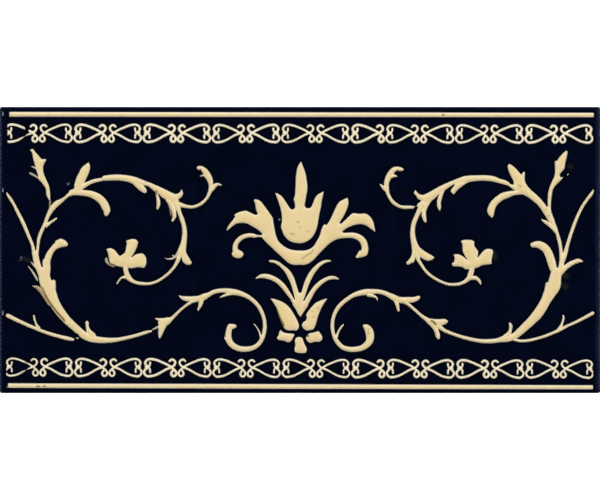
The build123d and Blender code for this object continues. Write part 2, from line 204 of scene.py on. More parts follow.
# Stems are runs of x, y and half width, and leaves are outlines of x and y. The two halves of the
# tile differ, so each has its own.
leftStems = {
    "outerStem": [(-97.9, 19.4, .12), (-97.2, 18, .47), (-96.5, 17, .55), (-95.3, 15, .53), (-94.1, 12.6, .6),
        (-92.75, 10, .66), (-90.6, 5, .6), (-89.1, 1.2, .57), (-88.6, -1.5, .7), (-88.2, -4, .7)],
    "innerStem": [(-87.9, -2, .7), (-87.5, .3, .48), (-86.85, 4.5, .6), (-86.05, 6.5, .63), (-85.05, 8.7, .6),
        (-83.95, 11.5, .7), (-82.7, 13.7, .93), (-80.9, 15.6, .98), (-79.9, 16.2, .8), (-78.4, 17.3, .55),
        (-77.1, 18.4, .65), (-75.5, 19.3, 1.02), (-74.2, 19.95, 1.1)],
    "twig": [(-84.6, 8.2, .75), (-83, 9.3, .47), (-81.3, 10.45, .38)],
    "leafUp": [(-74, 20.5, 1.3), (-73.4, 22.5, 1.45), (-72.5, 24.3, 1.4), (-71.6, 26.3, 1.35),
        (-70.9, 27.8, .85), (-70.5, 28.9, .3)],
    "archStart": [(-74, 20.1, 1.2), (-73, 20.9, 1), (-71.2, 21.9, .75), (-69, 22.9, .65), (-66.7, 23.4, .6),
        (-65.6, 23.6, .52)],
    "arch": [(-65.2, 23.95, .88), (-62.5, 24.15, 1), (-59.5, 24.1, 1.03), (-57, 23.7, 1.13), (-55, 23.1, 1.23),
        (-53, 22.55, 1.02), (-51, 22.05, .74), (-50, 21.7, .77), (-49, 21.05, .92), (-48, 20.45, 1.1),
        (-46, 19.3, 1.3), (-45, 18.6, 1.5), (-43.2, 17.6, 1.5), (-41.8, 16.8, 1.3)],
    "archHook": [(-55.5, 22.8, .85), (-54, 21.8, 1.15), (-52.9, 20.7, 1.1), (-52, 19.9, .9),
        (-51.7, 19.5, .65)],
    "dropOne": [(-48.4, 20.2, .4), (-48, 19.2, .35), (-47.5, 17.8, .5), (-47.2, 16.2, .6), (-47.2, 14.9, .58),
        (-47.5, 13.9, .45)],
    "dropTwo": [(-43.9, 16.6, .9), (-43.45, 15.8, .7), (-42.5, 14.3, .85), (-42, 12.5, .75), (-41.9, 11, .62),
        (-42.5, 9.8, .42)],
    "horn": [(-43, 17.8, 1.4), (-41.8, 17.6, 1.1), (-40.6, 17.9, .95), (-39.7, 18.7, .75), (-39.5, 19.6, .35),
        (-39.5, 20.2, .15)],
    "tendril": [(-41.5, 15.5, .95), (-40, 15.1, .8), (-38, 14.55, .6), (-36, 14.35, .53), (-34.2, 14.8, .55),
        (-32.9, 15.5, .58), (-31.4, 16.9, .58), (-30.4, 18.5, .6), (-29.8, 20, .75), (-29.7, 21.8, .8),
        (-30.15, 23.6, 1.05), (-31, 25.1, 1.2), (-31.9, 26.5, .95), (-33, 27.3, .75), (-33.8, 27.35, .68)],
    "tendrilLeaf": [(-29.3, 20.2, .7), (-28.4, 21.4, .75), (-27.5, 21.9, .5), (-26.7, 21.8, .35),
        (-26.1, 21.6, .15)],
    "downStem": [(-41.8, 16.6, 1.3), (-41.15, 15, 1.2), (-40.45, 13.2, .78), (-39.35, 10.2, .78),
        (-38.7, 8, .75), (-38.45, 6, .8), (-38.55, 4, .88), (-38.85, 2, 1.02), (-39.25, .3, 1.27),
        (-39.55, -1, 1.5)],
    "heelLeaf": [(-38.9, -1, 1), (-38.4, -2.3, 1.12), (-37.9, -3.4, 1.28), (-37.25, -4, 1),
        (-36.75, -4.2, .72)],
    "flowerStem": [(-40.2, -2, .8), (-40.75, -3.6, .68), (-41.85, -5.5, .56), (-43.4, -7.35, .52),
        (-45.4, -9.05, .52), (-47.7, -10.45, .5), (-50.2, -11.2, .48), (-52.5, -11.2, .55), (-54.7, -10.85, .6),
        (-56.2, -10.1, .75), (-57.3, -9, 1), (-57.9, -7.5, .85), (-58.2, -6, .85), (-58.3, -4.5, 1)],
    "stipule": [(-58.1, -9.1, .6), (-59.2, -9.12, .42), (-60.2, -10, .37), (-61, -11.2, .28)],
    "hookLeaf": [(-76.3, 19.2, .9), (-74.5, 19.3, 1.1), (-72, 19, 1), (-69.7, 18.6, 1.15), (-67.5, 17.6, 1.3),
        (-65.8, 16.1, 1.35), (-64.8, 14.3, 1.35), (-64.4, 12.9, 1.1), (-64.6, 12, .75)],
    "trunkTop": [(-88.2, -1.5, 1), (-87.7, -4.3, 1.1), (-86.9, -6.5, 1.1), (-86, -8.5, 1.2)],
    "trunk": [(-85.5, -7.4, 1.8), (-85, -10, 2), (-84.1, -12.4, 2.2), (-83.4, -14.4, 2.2), (-82.2, -17, 1.85),
        (-80.4, -20, 1.65), (-78, -23, 1.45), (-74.9, -25.9, 1.28), (-72.1, -28.35, 1.32), (-70, -29.4, 1.2),
        (-67.5, -29.9, 1.1), (-64.5, -30.1, .92), (-61, -29.9, .72), (-57.5, -29.2, .6), (-54, -28.3, .58),
        (-51.5, -27.5, .55), (-49.6, -27.05, .35)],
    "trunkStep": [(-82.2, -10.6, .75), (-82.35, -12.4, .95), (-82.5, -14.4, 1)],
    "trunkLeaf": [(-84.5, -8, 1.2), (-84.35, -6, 1.2), (-84.3, -4, 1.1), (-83.7, -1.8, 1.1), (-82.6, .1, .95),
        (-81.1, 1.65, 1.05), (-79.6, 2.25, 1.3), (-78.5, 2.1, 1.02)],
    "rootStem": [(-97.4, -21.9, .72), (-95, -23.1, .68), (-90, -25.4, .6), (-85, -27.4, .58), (-80, -28.9, .64),
        (-77, -29.6, .64), (-75.7, -29.85, .48)],
    "trunkTwig": [(-71, -24.2, .6), (-70.9, -25.5, .55), (-70.4, -27, .8), (-69.2, -28.6, 1.2)],
    "barbStem": [(-46, -24.3, 1.4), (-44.6, -23.9, 1.3), (-43, -23, .75), (-41.3, -21.4, .55),
        (-39.5, -19.7, .5), (-37.6, -18.2, .5), (-35.8, -17.1, .6), (-34, -16.3, .95)],
    "barbWing": [(-44, -23.3, .9), (-46, -23.3, .6), (-47.5, -23.1, .4), (-48.4, -22.8, .12)],
    "barbDrop": [(-44.6, -23.6, 1), (-45.8, -25.2, 1.3), (-46.3, -26.9, .95), (-46.6, -28.3, .65),
        (-46.8, -29.2, .35)],
    "scrollOut": [(-34, -16.3, .95), (-32.3, -15.75, 1.15), (-30.5, -14.9, .83), (-29, -14.1, .77),
        (-27.2, -13.6, .72), (-25.2, -13.5, .75), (-23, -13.9, 1.05), (-21, -14.2, .97), (-19, -14.8, .83),
        (-17.2, -15.7, .74), (-15.25, -17.2, .73), (-13.75, -18.9, .7), (-12.65, -21, .67),
        (-11.95, -23.2, .65), (-11.7, -25.5, .65)],
    "scrollIn": [(-11.7, -25.5, .65), (-12.05, -28, .7), (-12.95, -30.2, .75), (-14.4, -31.9, .78),
        (-16.3, -32.8, .83), (-18.3, -33.05, .92), (-20.5, -32.8, .97), (-22.4, -31.8, 1.07),
        (-23.6, -30.3, 1.1), (-23.9, -28.5, 1.05), (-23.7, -26.9, 1), (-23.3, -25.5, .95)],
    "scrollEye": [(-23.3, -25.5, .95), (-22.4, -25.5, .85), (-21.7, -25.4, .6)],
    "scrollHook": [(-22.5, -14.3, .7), (-24.2, -14.8, .55), (-25.6, -15.3, .4), (-26.8, -15.85, .15)],
    "innerTwig": [(-12.8, -29.8, .6), (-13.3, -28.2, .33), (-13.8, -26.8, .27), (-14.7, -25.4, .24),
        (-15.5, -24.5, .18)],
    "scrollSpur": [(-24.6, -30, .4), (-25.1, -29.2, .2), (-25.3, -28.7, .1)],
    "scrollTwig": [(-32.9, -16.5, 1), (-33.1, -18, .72), (-33.65, -19.4, .48), (-33.9, -19.9, .42)],
    "upperBarb": [(-34, -16.2, .95), (-36, -16.25, .85), (-38, -16.25, .85), (-39.3, -15.95, .6),
        (-40.4, -15.2, .15)],
}
leftLeaves = {
    "bud": [(-83.4, 16.2), (-84.5, 18), (-84.75, 20.2), (-85.8, 21.9), (-87.4, 24), (-87.45, 25), (-87.8, 26),
        (-88.2, 27.5), (-88.6, 29), (-89, 30.4), (-89.3, 32), (-90.05, 33.4), (-89.6, 33.7), (-89.2, 33.7),
        (-88.1, 32.6), (-86.9, 31.3), (-86.1, 30.35), (-84.65, 30.35), (-84.6, 30.1), (-85.2, 28.8),
        (-85.6, 27.5), (-85.6, 26.3), (-85.2, 25), (-84.4, 23.2), (-83.7, 21.5), (-83.4, 20), (-83.25, 18),
        (-83.3, 16.5)],
    "flower": [(-58.9, -5.9), (-61, -5.5), (-63.4, -4.6), (-63.8, -2.5), (-64.1, -1), (-64.7, .3), (-63.5, .65),
        (-62, .2), (-60.9, -1), (-60.1, -2), (-59.2, -1.4), (-58.4, -.7), (-58, 1), (-57.8, 2.1), (-58.1, 3.1),
        (-56, 3.7), (-54.5, 3.4), (-53.9, 2.6), (-54.3, 1), (-55.2, -.9), (-56.2, -2.5), (-54.8, -1.5),
        (-52.5, -1.05), (-51.6, -1.9), (-51.2, -3.7), (-51.4, -5.2), (-51.9, -6), (-54, -5.75), (-56, -6.1)],
    "leafUpSide": [(-75.3, 21.3), (-75, 22.7), (-74.4, 24.5), (-73.6, 26), (-72.9, 27.4), (-71.9, 28.3),
        (-70.7, 29.2), (-70.1, 28.6), (-70.05, 27), (-70.4, 25.5), (-71.1, 24.2), (-72, 22.5), (-73, 20.5),
        (-74.8, 20.2)],
    "trunkLeafTip": [(-85.5, -3), (-84.7, -2.3), (-83.7, -1), (-82.2, .4), (-81.25, 1.4), (-81.7, 3),
        (-80.9, 3.45), (-79.9, 3.8), (-78.6, 3.4), (-77.7, 2.7), (-77.3, 1.95), (-77.6, 1.15), (-79, 1),
        (-81, .3), (-82.2, -1), (-83, -3), (-83.4, -5), (-83.6, -7), (-85.6, -7)],
}
leftAsh = {  # thin grey twigs and spurs, with how grey each is
    "budTwigOne": (0.7, [(-88.3, 27.3, .35), (-88.9, 27.6, .3), (-89.5, 27.8, .2)]),
    "budTwigTwo": (1, [(-87.3, 24, .35), (-88.5, 24.8, .4), (-89.5, 25.3, .45), (-90, 25.6, .35)]),
    "heelSpur": (0.5, [(-40.5, -1.2, .8), (-41.5, -2.2, .5), (-43, -2.9, .35), (-44.2, -3, .22),
        (-45.2, -2.65, .15)]),
    "heelBump": (0.5, [(-42, -2.1, .3), (-42.4, -1.8, .25)]),
    "trunkTwigOne": (0.5, [(-89.9, -3.8, .12), (-89.2, -4.6, .3), (-88.3, -5.6, .35), (-87.6, -6.6, .35)]),
    "trunkTwigTwo": (0.5, [(-90.9, -5.1, .1), (-89.8, -6.4, .3), (-88.7, -8, .4), (-87.8, -9.6, .35),
        (-87.4, -10.4, .15)]),
    "rootTwig": (0.15, [(-88.7, -21.9, .32), (-88.5, -23.2, .36), (-88, -24.6, .42), (-87.2, -26, .7)]),
    "rootSpeck": (0.2, [(-74.6, -29.4, .2), (-73.9, -29.4, .22)]),
    "barStub": (1, [(-98.1, -45.75, .1), (-97.5, -45.75, .15)]),
    "breakSpur": (0.8, [(-49.1, -26.5, .28), (-48, -25.95, .4), (-47.2, -25.6, .5)]),
    "tendrilSpur": (0.5, [(-31.8, 24.8, .35), (-32.5, 24.8, .3), (-33.2, 24.7, .25)]),
}
leftStainedAndShadedFlanks = {  # flanks painted brown and olive, as painted shade and stained glaze, with how brown each is
    "trunkFlank": (.65, [(-89.2, -12, .15), (-87.9, -12.4, .55), (-86.5, -13.4, .8), (-85.2, -15.2, .8),
        (-83.6, -18, .6)]),
    "flowerLobe": (.6, [(-64.6, -2.9, .4), (-64.4, -3.9, .55), (-63.6, -4.8, .4), (-62, -5.5, .25)]),
    "budNeck": (1, [(-83.3, 16.3, .3), (-83.4, 14.2, .22)]),
    "dropFlank": (1, [(-44.1, 15.8, .2), (-43.3, 13.5, .25), (-42.9, 11.2, .2)]),
}

rightStems = {
    "outerStem": [(97.85, 20.25, .12), (97.3, 19, .52), (95.8, 16.95, .55), (94.3, 14.75, .57),
        (92.8, 11.85, .57), (91.4, 8.4, .6), (90.2, 5, .6), (89.08, 1.3, .64), (88.3, -1.5, .8),
        (87.5, -3.6, .9)],
    "innerStem": [(83.7, 12, .2), (84.2, 10.2, .4), (84.95, 8.2, .5), (85.75, 5.4, .58), (86.52, 2.6, .64),
        (86.95, 0, .58), (87.2, -3, .7)],
    "twig": [(80.4, 10.2, .15), (81.7, 9.42, .58), (83.25, 8.3, .7), (84.6, 7, .7), (85.6, 5.6, .5)],
    "arch": [(42, 17, 1.5), (43.4, 17.8, 1.5), (45.2, 19.1, 1.25), (47, 20.25, 1.12), (49, 21.4, .92),
        (51, 22.45, .74), (53, 22.95, 1.02), (55.2, 23.5, 1.2), (57.5, 23.85, 1.05), (60, 24, .95),
        (62.5, 23.95, .95), (64.8, 23.6, .92), (66.7, 22.95, .78), (68.4, 22.5, .75), (69.7, 21.85, .5)],
    "archEnd": [(70.1, 21.45, .5), (71, 21.1, .75), (72.5, 20.5, 1.2)],
    "tendril": [(37.6, 14.25, .5), (36, 14.25, .58), (34.5, 14.25, .58), (33.2, 14.55, .58), (32, 15.2, .63),
        (30.75, 16.25, .63), (29.95, 17.45, .63), (29.25, 18.95, .63), (28.9, 20.5, .78), (28.85, 22.2, .85),
        (29.35, 23.9, 1), (30.25, 25.5, 1.05), (31.25, 26.75, .88), (32.4, 27.15, .7), (33.6, 26.9, .68),
        (34.1, 26.85, .5)],
    "tendrilLeaf": [(28.6, 20.2, .8), (27.75, 20.85, .6), (27.15, 21.5, .4), (26.7, 21.9, .18)],
    "tendrilSpur": [(30.5, 24.6, .75), (31.5, 24.75, .48), (32.3, 24.55, .25)],
    "downStem": [(40.8, 15.2, 1.2), (40.15, 13.8, .98), (39.3, 12.2, .8), (38.6, 10.6, .8), (37.97, 9, .78),
        (37.6, 7, .78), (37.57, 5, .84), (37.82, 3.3, .96), (38.2, 1.8, 1.1), (38.65, .3, 1.4)],
    "flowerStem": [(39.1, -1.5, 1), (39.4, -3.15, .65), (40.45, -4.9, .57), (41.75, -6.8, .54),
        (43.3, -8.35, .54), (45.1, -9.55, .52), (47.05, -10.55, .5), (49.2, -11.35, .46), (51.5, -11.5, .5),
        (53.5, -11.2, .56), (55.15, -10.4, .68), (56.4, -9.2, .88), (57, -7.7, .95), (57.35, -6.2, .9),
        (57.5, -4.6, 1)],
    "stipule": [(57.2, -9.3, .7), (58.6, -9.35, .68), (59.5, -9.95, .6), (60, -10.8, .45), (60.25, -11.5, .2)],
    "barbStem": [(34.4, -16.9, .9), (35.3, -17.55, .65), (36.8, -18.65, .55), (38.5, -20.15, .57),
        (40.3, -21.75, .57), (42, -23, .75), (43.2, -23.9, 1)],
    "bottomStem": [(45.6, -25, .9), (46.5, -25.6, .8), (48, -26.7, .66), (50, -27.6, .58), (52.5, -28.5, .56),
        (55, -29.25, .6), (57.7, -29.9, .62), (60.5, -30.35, .68), (63.2, -30.4, .73), (65.7, -30.15, .77),
        (68, -29.6, 1)],
    "trunkTop": [(87.35, -3, .8), (87.1, -5.5, .95), (86.5, -7.8, 1.1)],
    "trunk": [(85.4, -7.6, 1.8), (85.1, -9.5, 2), (84.6, -12, 2.25), (83.3, -14.3, 2.05), (82, -16.8, 1.7),
        (80.6, -19.3, 1.72), (78.95, -21.65, 1.7), (77.15, -23.6, 1.5), (75.15, -25.5, 1.42),
        (73.3, -27.2, 1.28), (71.4, -28.75, 1.15), (69.5, -29.45, 1.12), (67.5, -29.75, 1.05)],
    "trunkLeaf": [(77.6, 1.7, .85), (79.15, 1.85, 1.15), (80.75, 1.3, 1.38), (82.2, 0, 1.4), (83.1, -1.8, 1.4),
        (83.75, -3.8, 1.42), (84.35, -6, 1.3)],
    "trunkSideLeaf": [(86, -8.2, 1), (87.05, -7.1, 1.12), (88.4, -5.95, .9), (89.9, -4.8, .85),
        (91.4, -4.05, .76), (92.8, -3.6, .72), (93.8, -3.7, .42), (94.2, -3.85, .2)],
    "trunkTwig": [(70, -24.6, .48), (70.25, -25.3, .6), (70.15, -26.6, .55), (69.6, -27.9, .8),
        (68.4, -28.9, .85)],
    "rootStem": [(71.5, -29.9, .5), (73.5, -30.3, .5), (75.5, -30.25, .5), (78, -29.78, .5), (81, -28.95, .52),
        (84, -27.8, .53), (86.5, -26.7, .6), (89, -25.4, .5), (92, -24.05, .53), (95, -22.5, .56),
        (97.6, -21.05, .6)],
    "rootTwig": [(87.75, -21.85, .28), (87.85, -22.8, .38), (87.45, -24.3, .4), (86.95, -25.5, .55),
        (86.2, -26.4, .5)],
    "scrollOut": [(34.4, -16.7, 1), (33.2, -16.7, 1.1), (31.5, -16, 1.1), (29.8, -15.1, .88), (28, -14.28, .78),
        (26, -13.85, .75), (24, -13.85, .85), (22, -14, 1), (20, -14.35, .9), (18, -15, .78), (16, -16.2, .72),
        (14.2, -17.6, .72), (12.7, -19.2, .7), (11.6, -21.2, .65), (10.95, -23.3, .62), (10.75, -25.4, .62)],
    "scrollIn": [(10.75, -25.4, .62), (11, -27.5, .62), (11.7, -29.4, .72), (12.7, -31, .8), (14.2, -32.4, .8),
        (16.2, -33.05, .85), (18.4, -33.1, .9), (20.3, -32.75, .95), (22, -31.8, 1.1), (23.2, -30.3, 1.25),
        (23.35, -28.5, 1.38), (23, -27, 1.38), (22.35, -25.95, 1.1), (21.5, -25.35, .6)],
    "scrollHook": [(22.8, -14.9, .7), (24.4, -15.3, .55), (25.4, -15.85, .38), (25.8, -16.7, .2)],
    "scrollTwig": [(32.1, -17, .95), (32.5, -18.5, .68), (32.85, -20.1, .5)],
    "innerTwig": [(12.2, -29, .5), (12.65, -27.6, .38), (13.45, -26.1, .4), (14.35, -25, .33)],
    "budBit": [(89.15, 25, .2), (89.45, 25.3, .22)],
}
rightLeaves = {
    "limb": [(82.4, 14.4), (81.25, 15.9), (79.9, 17.5), (78.4, 18.9), (76.7, 20.4), (75.6, 21.8), (75.05, 22.9),
        (74.95, 24.3), (74.95, 25.8), (74.7, 26.3), (74.15, 25.8), (73.8, 25.2), (72.8, 26.3), (71.8, 27.4),
        (70.7, 28.3), (69.65, 28.8), (69.3, 28.3), (69.3, 27), (69.8, 25.6), (70.5, 24.1), (71.1, 22.9),
        (71.2, 22.3), (71.2, 21.2), (72.1, 19.85), (70, 19.68), (68, 19.28), (66.45, 18.6), (64.95, 17.5),
        (63.6, 16.15), (62.8, 14.7), (62.4, 13), (62.6, 12.1), (63.4, 11.1), (64, 10.6), (64.5, 11.2),
        (64.8, 12.5), (65.2, 14), (65.9, 15.15), (66.8, 15.95), (68, 16.75), (69.5, 17.35), (71.2, 18.12),
        (72.7, 18.4), (74.3, 18.4), (75.4, 17.88), (76.9, 16.88), (78.4, 15.65), (79.85, 14.15), (81.05, 12.35),
        (82.15, 10.65), (83.2, 9.1), (84.2, 8), (85.3, 8), (84.75, 10.3), (83.9, 12.5), (83.6, 14.5)],
    "bud": [(82.55, 14.3), (82.57, 17), (82.78, 19.5), (83.28, 21.3), (84.1, 23.2), (84.85, 25), (85.02, 26.5),
        (84.95, 28.5), (85, 29.85), (85.6, 29.65), (86.05, 30.45), (86.95, 31.55), (88.15, 32.75),
        (88.85, 33.25), (89.25, 32.8), (88.95, 31), (88.45, 29), (87.95, 26.7), (87.1, 25.8), (86.6, 25.05),
        (86.8, 24.3), (87.6, 24.35), (88.1, 24.75), (87.65, 24), (86.65, 22.85), (85.25, 21.45), (84.35, 20),
        (83.95, 18), (83.75, 16.5), (83.65, 14)],
    "archHook": [(57.2, 22.9), (55.6, 22.15), (54.3, 21.3), (52.6, 20), (51.3, 18.35), (50.2, 19.3),
        (50.4, 20.3), (51, 21), (51.5, 21.7), (51.7, 22.8)],
    "dropOne": [(50.4, 22), (50.1, 21.4), (49.1, 20.7), (48.35, 19.8), (47.75, 18.4), (47.3, 17), (47, 15.6),
        (47.05, 14.2), (46.8, 13.05), (46.35, 13.1), (45.75, 14.3), (45.65, 15.8), (45.95, 17.6), (46.5, 18.7),
        (47.1, 19.6)],
    "dropTwo": [(45.5, 18.2), (44.4, 17), (43.35, 15.5), (42.6, 14.1), (42.1, 12.8), (42.1, 11), (42.3, 9.1),
        (41.4, 9.2), (40.9, 10.2), (40.5, 11.5), (40.5, 12.3), (40.8, 13.6), (41.4, 16)],
    "horn": [(38.45, 20.05), (37.95, 19.3), (38, 18.75), (38.7, 17.95), (39.2, 17.1), (40, 16.6), (40.5, 16.2),
        (42, 15.8), (43.4, 17.6), (43.4, 19.1), (42, 18.8), (41.2, 18.45), (40.2, 18.5), (39.4, 19),
        (38.8, 19.7)],
    "nodeLobe": [(40.8, 16.2), (40.2, 16), (39.4, 15.7), (39, 15.1), (38.8, 14.5), (39.3, 14.2), (40.4, 13.6),
        (41.6, 15.4)],
    "heelLobe": [(37.3, .6), (37.3, -.8), (37.1, -1.8), (36.6, -2.7), (35.9, -3.5), (35.3, -4.2), (35.6, -4.9),
        (36.3, -4.9), (37.3, -4.4), (38, -4.1), (38.3, -3.3), (38.5, -2.5), (39.6, -1.6), (39.4, .6)],
    "heelLeaf": [(38.4, 2.4), (39, 2), (40, .9), (41.4, -.2), (43, -1.2), (44.5, -2.1), (44.9, -2.5),
        (44.5, -3), (43.6, -3.5), (42.6, -3.6), (41.5, -3.3), (40.5, -2.7), (39.8, -2.2), (38.6, -1.4)],
    "flower": [(51.3, -1.4), (53, -1.45), (54.5, -2.2), (55.7, -3.3), (54.9, -1.9), (54.25, -.6), (54.15, 1),
        (53.8, 2.5), (53.5, 3), (54.5, 3.35), (56, 3.4), (57.5, 3.25), (58.2, 2.8), (58.15, 1.5), (58.65, .7),
        (59.35, -.3), (59.4, -1.3), (59.2, -2.5), (60.1, -1.45), (61.05, -.3), (62.05, .3), (63.2, .42),
        (64.2, .15), (64.4, -.6), (64.2, -2), (63.9, -3.5), (63.9, -4.75), (62.5, -4.85), (61, -5.05),
        (59.6, -5.75), (58.1, -6.25), (56.4, -6.45), (55.1, -6.4), (54, -5.7), (52.5, -5.5), (51, -5.5),
        (50.55, -4.85), (50.75, -4.2), (51.3, -4), (51.5, -2.6), (51.2, -1.9)],
    "upperBarb": [(33, -15.5), (34, -15.65), (36, -15.65), (38, -15.6), (39.3, -15.25), (39.85, -15.2),
        (40.15, -15.7), (39.75, -16.55), (38.7, -17.2), (37.3, -17.6), (36.2, -17.6), (35.2, -18),
        (33.4, -17.5)],
    "lowerBarb": [(42.2, -22.9), (43, -22.8), (45, -23), (47, -23), (48.6, -23.05), (49.5, -23.7),
        (48.95, -24.5), (47.9, -25), (47.2, -25.2), (46.1, -26.1), (46.4, -27.2), (46.7, -28.6), (46.5, -29.7),
        (46.05, -30), (45.2, -29), (44.9, -27.6), (44.1, -26.2), (43, -25), (42.2, -23.95)],
    "trunkStep": [(83.5, -8.8), (83.1, -10.75), (81.98, -10.75), (81.55, -12.9), (81.3, -14.2), (84, -16)],
}
rightAsh = {
    "tendrilBit": (1, [(38.1, 14.5, .2), (38.4, 14.4, .2)]),
}

centreLeaves = {
    "bell": [(-8.4, 19.2), (-6.8, 18.5), (-5.8, 17.7), (-4.9, 16.4), (-4, 15), (-3.2, 13.9), (-2.6, 13.5),
        (-2, 13.8), (-1.7, 14.3), (-1.8, 15.5), (-2.1, 17.3), (-1.8, 18), (-1.6, 20), (-1.5, 22), (-1.4, 24.5),
        (-1.1, 26.5), (-.9, 27.5), (-.4, 28.6), (.4, 29.6), (.9, 28.3), (1.5, 26.7), (2, 24.9), (2.3, 23),
        (2.5, 21), (2.4, 19.5), (2.1, 18), (1.8, 16.2), (1.6, 14.9), (1.9, 14.2), (2.8, 13.9), (3.5, 14.2),
        (4, 15), (4.6, 16.5), (5.2, 17.8), (5.6, 18.3), (6.8, 19), (7.95, 19.7), (7.6, 17.6), (7.2, 15.8),
        (6.9, 13.8), (6.5, 12), (6.15, 10), (5.7, 7.5), (5.2, 6.1), (4.3, 4.5), (3.1, 3.3), (1.8, 2.6),
        (.6, 2.25), (-1, 2.3), (-2.05, 2.48), (-3.1, 2.8), (-4.1, 3.4), (-4.85, 4.2), (-5.45, 5.1),
        (-5.95, 6.3), (-6.3, 7.4), (-6.3, 8.2), (-6.05, 9.5), (-6.1, 11.5), (-6.4, 13.3), (-7, 15.3),
        (-7.7, 17.3)],
    "calyxLeft": [(-15.4, 16.9), (-14.5, 16.9), (-13, 16.2), (-12, 15), (-11, 13.6), (-10, 12.2), (-9.1, 10.8),
        (-8.8, 9), (-8.4, 6.8), (-7.85, 4.5), (-7.05, 2.9), (-5.85, 1.7), (-4.35, .7), (-3.3, .25), (-1.5, -.1),
        (0, -.2), (2, -.6), (2, -4.2), (0, -4.9), (-2.5, -4.9), (-3.8, -4.4), (-5, -3.4), (-6.5, -2), (-8, -.7),
        (-9, .3), (-10.5, 1.7), (-12, 3.2), (-13, 4.2), (-13.8, 4.3), (-14.8, 4.1), (-16.5, 4.2), (-18, 3.95),
        (-19.6, 3), (-20.5, 1.9), (-20.75, 1.1), (-20.7, .3), (-20, -.1), (-19.1, -.65), (-18.75, -1.6),
        (-19.3, -2.4), (-20.5, -2.8), (-21.6, -2.6), (-22.5, -2), (-22.9, -.9), (-22.4, -.7), (-22.5, 0),
        (-22.4, 1.5), (-21.8, 3), (-20.5, 4.4), (-18.7, 5.3), (-17, 5.6), (-15.5, 5.5), (-14, 5), (-12.8, 4.95),
        (-12.6, 5.3), (-13.4, 6.15), (-14.6, 7.05), (-16.05, 7.85), (-17.5, 8.7), (-19, 9), (-21, 8.75),
        (-22.3, 8), (-23.5, 7), (-24.6, 6.2), (-24.2, 7.5), (-23.5, 8.7), (-22.5, 10), (-21.7, 11.2),
        (-22.5, 11.5), (-21, 12.4), (-19.5, 12.9), (-18, 13.1), (-16.5, 12.5), (-14.6, 11.8), (-14.1, 12),
        (-14.7, 13.5), (-14.9, 15), (-15.4, 16.7)],
    "calyxRight": [(-2, -.6), (0, -.2), (1.5, -.15), (2.8, .2), (4, .9), (4.8, 1.7), (5.3, 2.6), (6, 3.8),
        (6.6, 5), (7, 6.4), (7.5, 7.8), (8, 8.6), (8.8, 8.4), (9.3, 9), (10, 10.2), (10.9, 12), (11.7, 13.8),
        (12.3, 15), (13.1, 16.1), (14.5, 16.9), (15.9, 17.5), (16.2, 15.8), (15.9, 14.2), (15.3, 12.7),
        (14.5, 11.1), (13.7, 9.9), (13.2, 9), (13.5, 8.7), (14.8, 9.8), (16.2, 11.2), (17.4, 12.2), (20, 12.1),
        (21.5, 12.2), (22.3, 12), (23.4, 11.2), (24.2, 10), (24.7, 8.5), (25.15, 5.8), (24.5, 6.3), (23.3, 7.2),
        (21.8, 8.2), (20.2, 8.6), (18.5, 8.4), (16.8, 7.8), (15.6, 7.2), (14.2, 6.2), (14.5, 5.7), (16, 5.8),
        (18, 5.8), (19.5, 5.4), (21, 4.6), (22, 3.5), (22.5, 2.2), (22.8, 0), (22.7, -.8), (22.3, -1.8),
        (21.5, -2.2), (18.8, -2.75), (18.4, -2.3), (19, -1.4), (19.4, -.7), (19.6, -.3), (20.3, -.05),
        (20.5, .4), (20.4, 1.3), (20.2, 2), (19.7, 2.75), (18.8, 3.45), (17.6, 3.9), (16, 4), (13, 3.7),
        (11.4, 3.1), (9.8, 2), (8.8, 1.1), (7.8, .1), (6.8, -.9), (5.7, -2.1), (4.6, -3.3), (3.4, -4.2),
        (2.2, -4.8), (0, -4.95), (-2, -4.2)],
    "sepalLeft": [(-10, -16.1), (-8.5, -16.3), (-6.5, -17), (-4.8, -17.9), (-3.5, -19.1), (-2.2, -21),
        (-1, -23.2), (-.4, -24.8), (-.4, -26), (-1, -26.9), (-2.5, -26.8), (-4, -26.8), (-5.2, -26.2),
        (-5.6, -25.5), (-6.5, -23.8), (-7.2, -22), (-7.8, -20), (-8.3, -18.6), (-9.2, -17.2)],
    "sepalRight": [(9.3, -16.1), (8.3, -16.3), (6.8, -16.8), (5.3, -17.5), (4.2, -18.5), (3.2, -19.7),
        (2.4, -20.8), (2, -21.8), (2.2, -22.6), (1.9, -23.4), (.8, -24.3), (.6, -25.2), (1, -26.1), (2, -26.8),
        (3.5, -26.7), (4.5, -26.5), (4.9, -25.8), (5.4, -24.6), (5.8, -23), (6.3, -21.5), (7, -19.8),
        (7.8, -18.3), (8.5, -17.2)],
    "petalLeft": [(-6.5, -26.5), (-5.8, -27.2), (-5, -27.6), (-3.5, -27.8), (-2, -27.9), (-1.8, -28.4),
        (-2.4, -29.6), (-3.2, -30.6), (-4, -30.8), (-5.2, -30.35), (-6.9, -30.05), (-7.55, -29.9),
        (-7.6, -28.9), (-7.25, -28.5), (-7.1, -27.8)],
    "petalRight": [(6.2, -27), (7, -28), (7.5, -29.2), (7.2, -30.2), (6.6, -30.6), (5, -30.6), (3.3, -31),
        (2.4, -30.4), (1.85, -29.3), (2.8, -27.9), (4, -27.6), (5.2, -27.3)],
    "petalFoot": [(-1.4, -29.2), (-.2, -28.95), (.8, -29.2), (1.5, -31.2), (2.3, -33.5), (2, -34.3), (0, -34.4),
        (-1.8, -34), (-1.85, -32.8), (-1.6, -31.6), (-1.8, -30.5)],
    "frondBase": [(-1.4, -15.2), (-1, -14.6), (0, -14.1), (.8, -14.6), (1.3, -15.4), (1.15, -17), (2, -16.6),
        (3.2, -16.6), (2.7, -18.5), (1.6, -20.2), (.2, -22.4), (-.3, -21.9), (-1.5, -19.7), (-2.6, -17.8),
        (-2.4, -16.8), (-1.8, -16.5)],
}
